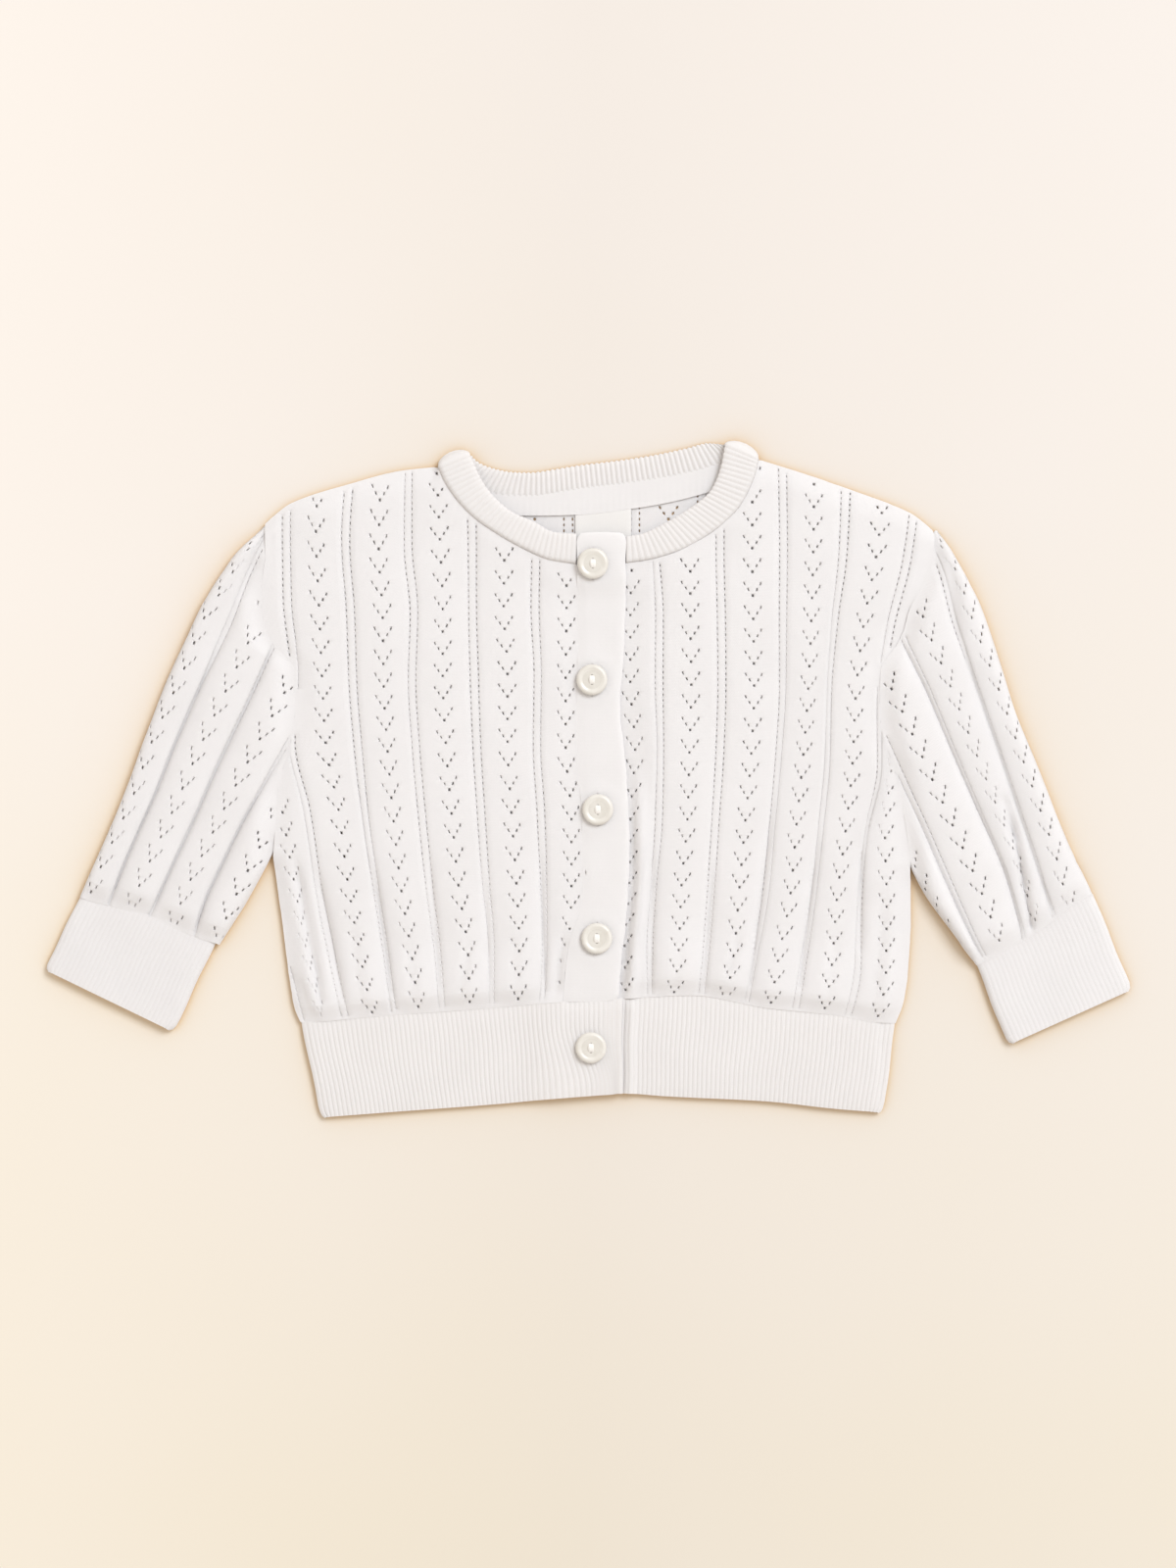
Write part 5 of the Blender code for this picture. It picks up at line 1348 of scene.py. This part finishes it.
def buttonhole_band_piece():
    ys = list(np.arange(BAND_TOP, -89.6, -1.6)) + [BAND_TOP - 0.4, BAND_TOP - 0.9, -89.6]
    for by, _ in BUTTONS.rows[:4]:
        ys += [by + HOLE_LONG / 2, by - HOLE_LONG / 2, by + HOLE_LONG / 2 + 0.7, by - HOLE_LONG / 2 - 0.7]
    ys = sorted(set(round(y, 2) for y in ys), reverse=True)
    thin = [ys[0]]
    for y in ys[1:]:
        keep = any(abs(abs(y - by) - HOLE_LONG / 2) < 0.01 for by, _ in BUTTONS.rows[:4])
        if thin[-1] - y > 0.35 or keep:
            thin.append(y)
    ys = np.array(thin)
    marks = [0.0, 0.25, 0.6, 1.1, 2.0, 3.4, 5.0, 6.8]
    inner = [-5.0, -3.4, -2.0, -1.2, -0.7, -0.2, 0.2, 0.7, 1.2, 2.0, 3.4, 5.0]
    X, Y = [], []
    for y in ys:
        # rounded top corners and a rounded foot
        top = 3.2 * (1 - math.sqrt(max(0.0, 1 - max(0.0, 1 - (BAND_TOP - y) / 3.2) ** 2)))
        foot = 1.2 * (1 - math.sqrt(max(0.0, 1 - max(0.0, 1 - (y + 89.6) / 2.0) ** 2)))
        left = float(PLACKET.at("outer", y)) + top
        right = float(PLACKET.at("inner", y)) - top * 0.8 - foot
        right += 0.18 * math.sin(y / 5.3) + 0.12 * math.sin(y / 2.1)
        mid = float(BUTTONS.at("x", y))
        row = [left + m for m in marks]
        end = [right - m for m in marks[::-1]]
        lo, hi = row[-1], end[0]
        row = row[:6] + [mid + k for k in inner] + end[2:]
        row = sorted(row)
        X.append(row)
        Y.append([y] * len(row))
    X, Y = np.array(X), np.array(Y)
    n, m = X.shape
    left, right = X[:, :1], X[:, -1:]
    z = OVER_BAND_Z + band_lift(Y)
    # edges turned under and soft, the middle very slightly full
    d_l, d_r = X - left, right - X
    z = z + 0.22 * np.minimum(smooth(d_l / 4.0), smooth(d_r / 2.2))
    z = z - 0.45 * (1 - rounded(d_r / 0.9))
    z = z - 0.4 * (1 - rounded((BAND_TOP - Y) / 1.4)) - 0.15 * (1 - rounded((Y + 89.6) / 2.2))
    z = z + gentle(X, Y, 26.0, 0.10, 41) * smooth(d_r / 4.0) * smooth(d_l / 4.0)
    for by, bx in BUTTONS.rows[:4]:
        r = np.hypot(X - bx, Y - by)
        z = z - 0.32 * bell(r / 5.0) + 0.30 * bell((r - 8.6) / 2.2)
    z = z + 0.22 * band_slit(X, Y)
    # the foot follows the hem's seam
    seam = np.array([[float(HEM_SEAM.at("y", x)) for x in row] for row in X])
    yy = np.where(Y < -84, mix(Y, seam + (Y + 89.6), smooth((-84 - Y) / 5.0)), Y)
    bow = 1.3 * bell((X - 4.0) / 7.0)
    yy = yy - bow * smooth((-84 - Y) / 5.6) * 0.6
    crown = 0.9 * (1 - ((X - (left + right) / 2) / 10.0) ** 2)
    yy = yy + np.clip(crown, -1.2, 1) * smooth((Y - 96.0) / 4.2) * 0.6
    verts = to_world(X, yy, z).reshape(-1, 3)
    faces = []
    for i in range(n - 1):
        for j in range(m - 1):
            mid_x = (X[i, j] + X[i, j + 1]) / 2 - float(BUTTONS.at("x", (Y[i, 0] + Y[i + 1, 0]) / 2))
            mid_y = (Y[i, 0] + Y[i + 1, 0]) / 2
            opened = abs(mid_x) < 0.15 and any(
                abs(mid_y - by) < HOLE_LONG / 2 for by, _ in BUTTONS.rows[:4])
            if not opened:
                faces.append((i * m + j, (i + 1) * m + j, (i + 1) * m + j + 1, i * m + j + 1))
    uv = np.stack([X, Y], -1).reshape(-1, 2)
    return make_piece("buttonhole_band_jersey", verts, faces, uv, JERSEY, CLOTH)


def strip_piece(name, xs, lines, height, material, wall, uv_turn=False):
    """A plain strip between an upper and a lower line, with soft edges."""
    verts, uv = [], []
    for x, (a, b) in zip(xs, lines):
        for k, t in enumerate((0.0, 0.03, 0.08, 0.2, 0.4, 0.6, 0.8, 0.9, 0.95, 1.0)):
            y = mix(a, b, t)
            verts.append((x, y, height(x, y, t)))
            uv.append((x, y))
    V = np.array(verts)
    W = to_world(V[:, 0], V[:, 1], V[:, 2])
    faces = grid_faces(len(xs), 10)
    return make_piece(name, W, faces, uv, material, wall)


def tape_piece():
    xs = np.linspace(-53.0, 63.0, 180)
    lines = []
    for x in xs:
        lines.append((float(NECK_TAPE.at("upper", x)) + 1.2, float(NECK_TAPE.at("lower", x))))

    def height(x, y, t):
        # stitched down just above its lower edge
        stitch = 0.20 * math.exp(-((y - float(NECK_TAPE.at("lower", x)) - 1.3) / 0.45) ** 2)
        puck = 0.05 * math.sin(x * 2 * math.pi / 2.6)
        return 1.66 - 0.5 * stitch * (1 + 0.5 * math.sin(x * 2 * math.pi / 1.3)) + puck * t - 0.06 * max(0.0, (t - 0.9) / 0.1)
    return strip_piece("neck_tape_jersey", xs, lines, height, JERSEY, 0.6)


def label_piece():
    xs = np.linspace(-5.1, 17.6, 24)
    lines = [(float(NECK_TAPE.at("lower", x)) - 0.05, 92.0) for x in xs]

    def height(x, y, t):
        edge = min(x + 5.1, 17.6 - x)
        return 1.72 + 0.12 * math.sin((x + y) / 6.0) - 0.1 * max(0.0, 1 - edge / 0.8)
    return strip_piece("label_bare", xs, lines, height, LABEL_CLOTH, 0.35)


def button_band_piece():
    ys = np.linspace(BAND_TOP - 0.6, -87.6, 90)
    offs = [0, 0.3, 0.8, 2, 4, 6.5, 9, 11, 12.4, 13.0, 13.3]
    verts, uv = [], []
    for y in ys:
        right = float(PLACKET.at("inner", y)) - 4.9
        for o in offs:
            x = right - 13.3 + o
            z = UNDER_BAND_Z + float(band_lift(y)) - 0.15 * math.exp(-min(o, 13.3 - o) / 0.5)
            verts.append((x, y, z))
            uv.append((x, y))
    V = np.array(verts)
    W = to_world(V[:, 0], V[:, 1], V[:, 2])
    return make_piece("button_band_jersey", W, grid_faces(len(ys), len(offs), flip=False), uv, JERSEY, 1.0)


# -------------------------------------------------------------------- buttons
def button_piece(k, x, y, rest):
    """Turned disc with a raised rim, a sunk middle and two thread holes."""
    well = 3.6
    prof = [(well, 2.16), (3.85, 2.18), (4.15, 2.25), (4.45, 2.36), (4.8, 2.46), (5.1, 2.50),
            (5.4, 2.46), (5.7, 2.32), (6.0, 2.05), (6.22, 1.72), (6.33, 1.4), (6.28, 1.05),
            (6.0, 0.7), (5.4, 0.3), (4.6, 0.1), (2.0, 0.05)]
    seg = 64
    verts, faces = [], []
    for r, h in prof:
        for s in range(seg):
            a = 2 * math.pi * s / seg
            verts.append((r * math.cos(a), r * math.sin(a), h))
    for i in range(len(prof) - 1):
        for s in range(seg):
            t = (s + 1) % seg
            faces.append((i * seg + s, (i + 1) * seg + s, (i + 1) * seg + t, i * seg + t))
    last = (len(prof) - 1) * seg
    faces.append([last + s for s in range(seg)][::-1])
    # floor of the well, pierced by two holes: a grid of polar patches round each
    hole_r, apart = 0.62, 1.5
    # upper half of the well belongs to the upper hole, lower half to the lower
    for sign in (1, -1):
        cy = apart * sign
        corner = math.atan2(-cy, well)
        angles = sorted({round(2 * math.pi * s / 32, 6) for s in range(32)}
                        | {round(corner % (2 * math.pi), 6), round((math.pi - corner) % (2 * math.pi), 6)})
        steps = len(angles)
        inner = len(verts)
        verts += [(hole_r * math.cos(a), cy + hole_r * math.sin(a), 2.12) for a in angles]
        deep = len(verts)
        verts += [(hole_r * math.cos(a), cy + hole_r * math.sin(a), 0.4) for a in angles]
        base = len(verts)
        for a in angles:
            dx, dy = math.cos(a), math.sin(a)
            # distance from (0, cy) to the well circle or to the middle line
            b = cy * dy
            reach = -b + math.sqrt(b * b - cy * cy + well * well)
            if dy * sign < -1e-9:
                reach = min(reach, -cy / dy)
            verts.append((dx * reach, cy + dy * reach, 2.14))
        for s in range(steps):
            t = (s + 1) % steps
            faces.append((inner + s, base + s, base + t, inner + t))
            faces.append((deep + s, inner + s, inner + t, deep + t))
    W = to_world(np.array([p[0] for p in verts]) + x, np.array([p[1] for p in verts]) + y,
                 np.array([p[2] for p in verts]) + rest)
    obj = make_piece("button_%d_pearl" % k, W, faces, None, PEARL, sharp=45)
    # the sunk middle is painted a little darker, as shade in the well
    obj.data.materials.append(PEARL_WELL_SHADE)
    for p in obj.data.polygons:
        if np.hypot(p.center[0] - (x + SHIFT_X) * MM, p.center[1] - (y + SHIFT_Y) * MM) < 3.95 * MM and p.normal[2] > 0.3:
            p.material_index = 1
    return obj


def thread_piece(k, x, y, rest):
    """Four strands over the bar between the two holes."""
    verts, faces = [], []
    for off, lift in ((-0.80, 0.0), (-0.27, 0.16), (0.28, 0.14), (0.81, 0.0)):
        path = []
        for t in np.linspace(0, 1, 15):
            yy = mix(-1.85, 1.85, t)
            rise = math.sin(math.pi * t) ** 0.45
            path.append((off * (0.55 + 0.45 * rise), yy, 1.1 + (1.35 + lift) * rise))
        base = len(verts)
        seg = 8
        for i, p in enumerate(path):
            a = np.array(path[max(0, i - 1)])
            b = np.array(path[min(len(path) - 1, i + 1)])
            d = (b - a) / np.linalg.norm(b - a)
            side = np.array([1.0, 0, 0])
            up = np.cross(side, d)
            for s in range(seg):
                ang = 2 * math.pi * s / seg
                q = np.array(p) + 0.34 * (math.cos(ang) * side + math.sin(ang) * up)
                verts.append(tuple(q))
        for i in range(len(path) - 1):
            for s in range(seg):
                t = (s + 1) % seg
                faces.append((base + i * seg + s, base + i * seg + t,
                              base + (i + 1) * seg + t, base + (i + 1) * seg + s))
        faces.append([base + s for s in range(seg)][::-1])
        faces.append([base + (len(path) - 1) * seg + s for s in range(seg)])
    V = np.array(verts)
    W = to_world(V[:, 0] + x, V[:, 1] + y, V[:, 2] + rest)
    return make_piece("button_%d_thread" % k, W, faces, None, THREAD)


# ------------------------------------------------------------- put it together
pieces = {}
for side in ("right", "left"):
    pieces["front_" + side] = front_piece(side)
    pieces["sleeve_" + side] = sleeve_piece(side)
    pieces["cuff_" + side] = cuff_piece(side)
pieces["back"] = back_piece()
R, L = HEM_SIDE["right"], HEM_SIDE["left"]
pieces["hem_back"] = hem_piece("hem_back_rib", R, L, lambda x: 0.62, under=True)
pieces["hem_front_left"] = hem_piece("hem_front_left_rib", (-6.0, -6.0), L, lambda x: np.full_like(x, HEM_Z))
pieces["hem_front_right"] = hem_piece("hem_front_right_rib", R, (13.8, 13.8), hem_height, over=True)
pieces["neckband"] = neckband_piece()
pieces["buttonhole_band"] = buttonhole_band_piece()
pieces["button_band"] = button_band_piece()
pieces["neck_tape"] = tape_piece()
pieces["label"] = label_piece()

FLAT = {   # cut width and length in metres, and the cut's area
    "front_right": (0.138, 0.232, 0.0275), "front_left": (0.138, 0.232, 0.0275),
    "back": (0.285, 0.232, 0.058),
    "sleeve_right": (0.170, 0.168, 0.0235), "sleeve_left": (0.170, 0.165, 0.0228),
    "cuff_right": (0.120, 0.038, None), "cuff_left": (0.114, 0.038, None),
    "hem_back": (0.236, 0.038, None), "hem_front_left": (0.126, 0.038, None),
    "hem_front_right": (0.130, 0.038, None),
    "neckband": (0.290, 0.013, None), "buttonhole_band": (0.020, 0.192, None),
    "button_band": (0.0135, 0.187, None), "neck_tape": (0.120, 0.011, None),
    "label": (0.0227, 0.018, None)}
for node, obj in pieces.items():
    w, l, area = FLAT[node]
    taken(obj, node)

for k, (y, x) in enumerate(BUTTONS.rows):
    rest = (OVER_BAND_Z + float(band_lift(y)) + BAND / 2 + GAP) if k < 4 else HEM_OVER_Z + 0.7 + GAP
    b = button_piece(k + 1, x, y, rest)
    taken(b, "button_%d" % (k + 1))
    th = thread_piece(k + 1, x, y, rest)
    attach(th, "root")

# -------------------------------------------------- floor, light and the camera
def floor_material():
    m, nt, bsdf = nodes_of("cream_paper")
    pos = nt.nodes.new("ShaderNodeTexCoord")
    soft = nt.nodes.new("ShaderNodeTexNoise")
    soft.inputs["Scale"].default_value = 3.0
    soft.inputs["Detail"].default_value = 2.0
    nt.links.new(pos.outputs["Object"], soft.inputs["Vector"])
    tone = nt.nodes.new("ShaderNodeMix")
    tone.data_type = "RGBA"
    tone.inputs["A"].default_value = (0.760, 0.693, 0.573, 1)
    tone.inputs["B"].default_value = (0.777, 0.729, 0.680, 1)
    # painted light: a little yellower and darker towards the viewer
    sep = nt.nodes.new("ShaderNodeSeparateXYZ")
    nt.links.new(pos.outputs["Object"], sep.inputs[0])
    near = nt.nodes.new("ShaderNodeMapRange")
    near.inputs["From Min"].default_value = -0.30
    near.inputs["From Max"].default_value = 0.10
    near.inputs["To Min"].default_value = -0.30
    near.inputs["To Max"].default_value = 0.50
    nt.links.new(sep.outputs[1], near.inputs["Value"])
    nt.links.new(maths(nt, "ADD", near.outputs[0], soft.outputs[0]), tone.inputs["Factor"])
    # painted light: a little lighter towards -x, away from the key lamp, and darker towards +x
    away = nt.nodes.new("ShaderNodeMapRange")
    away.inputs["From Min"].default_value = -0.24
    away.inputs["From Max"].default_value = 0.24
    away.inputs["To Min"].default_value = 1.0
    away.inputs["To Max"].default_value = 0.0
    nt.links.new(sep.outputs[0], away.inputs["Value"])
    pale = nt.nodes.new("ShaderNodeMix")
    pale.data_type = "RGBA"
    pale.blend_type = "MULTIPLY"
    pale.inputs["B"].default_value = (0.935, 0.94, 0.955, 1)
    nt.links.new(maths(nt, "SUBTRACT", 1.0, away.outputs[0]), pale.inputs["Factor"])
    nt.links.new(tone.outputs["Result"], pale.inputs["A"])
    # painted shade: a little darker in the middle than at the sides
    off = nt.nodes.new("ShaderNodeMapRange")
    off.inputs["From Min"].default_value = 0.0
    off.inputs["From Max"].default_value = 0.24
    off.inputs["To Min"].default_value = 1.0
    off.inputs["To Max"].default_value = 0.0
    nt.links.new(maths(nt, "ABSOLUTE", sep.outputs[0], 0.0), off.inputs["Value"])
    middle = nt.nodes.new("ShaderNodeMix")
    middle.data_type = "RGBA"
    middle.blend_type = "MULTIPLY"
    middle.inputs["B"].default_value = (0.94, 0.935, 0.93, 1)
    nt.links.new(off.outputs[0], middle.inputs["Factor"])
    nt.links.new(pale.outputs["Result"], middle.inputs["A"])
    # painted warm shade on the floor close to the garment, driven by ambient occlusion
    shade = nt.nodes.new("ShaderNodeAmbientOcclusion")
    shade.samples = 8
    shade.inputs["Distance"].default_value = 0.032
    deep = nt.nodes.new("ShaderNodeValToRGB")
    deep.color_ramp.elements[0].position = 0.45
    deep.color_ramp.elements[0].color = (0.95, 0.73, 0.49, 1)
    deep.color_ramp.elements[1].position = 0.98
    deep.color_ramp.elements[1].color = (1, 1, 1, 1)
    deep.color_ramp.elements.new(0.64).color = (0.985, 0.86, 0.69, 1)
    nt.links.new(shade.outputs["AO"], deep.inputs[0])
    warm = nt.nodes.new("ShaderNodeMix")
    warm.data_type = "RGBA"
    warm.blend_type = "MULTIPLY"
    warm.inputs["Factor"].default_value = 1.0
    nt.links.new(deep.outputs[0], warm.inputs["B"])
    nt.links.new(middle.outputs["Result"], warm.inputs["A"])
    nt.links.new(warm.outputs["Result"], bsdf.inputs["Base Color"])
    bsdf.inputs["Roughness"].default_value = 0.9
    bsdf.inputs["Specular IOR Level"].default_value = 0.1
    return m


mesh = bpy.data.meshes.new("floor")
mesh.from_pydata([(-8, -8, 0), (8, -8, 0), (8, 8, 0), (-8, 8, 0)], [], [(0, 1, 2, 3)])
mesh.materials.append(floor_material())
floor = bpy.data.objects.new("floor", mesh)
floor.location.z = -0.0002
bpy.context.scene.collection.objects.link(floor)
floor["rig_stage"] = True

world = bpy.data.worlds.new("studio")
world.use_nodes = True
world.node_tree.nodes["Background"].inputs[0].default_value = (1.0, 0.93, 0.855, 1)
world.node_tree.nodes["Background"].inputs[1].default_value = 0.86
bpy.context.scene.world = world


def area(name, at, look, size, power, colour):
    light = bpy.data.lights.new(name, "AREA")
    light.shape = "SQUARE"
    light.size = size
    light.energy = power
    light.color = colour
    obj = bpy.data.objects.new(name, light)
    obj.location = at
    d = [look[k] - at[k] for k in range(3)]
    from mathutils import Vector
    obj.rotation_euler = Vector(d).to_track_quat("-Z", "Y").to_euler()
    bpy.context.scene.collection.objects.link(obj)
    return obj


area("key", (2.5, 2.5, 4.2), (0, 0, 0), 2.4, 203.0, (0.86, 0.925, 1.0))

camera = bpy.data.cameras.new("camera")
camera.sensor_fit = "VERTICAL"
camera.sensor_height = 36.0
DIST = 1.5
camera.lens = 36.0 * DIST / 0.640
cam = bpy.data.objects.new("camera", camera)
cam.location = (-0.0002, -0.0022, DIST)
cam.rotation_euler = (0, 0, 0)
bpy.context.scene.collection.objects.link(cam)
bpy.context.scene.camera = cam
bpy.context.scene.view_settings.view_transform = "Standard"

faces = {}
dg = bpy.context.evaluated_depsgraph_get()
for o in list(bpy.context.scene.objects):
    if o.type == "MESH" and not o.hide_render and "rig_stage" not in o:
        e = o.evaluated_get(dg)
        me = e.to_mesh()
        me.calc_loop_triangles()
        faces[o.name] = len(me.loop_triangles)
        e.to_mesh_clear()
print("triangles", sum(faces.values()), faces)
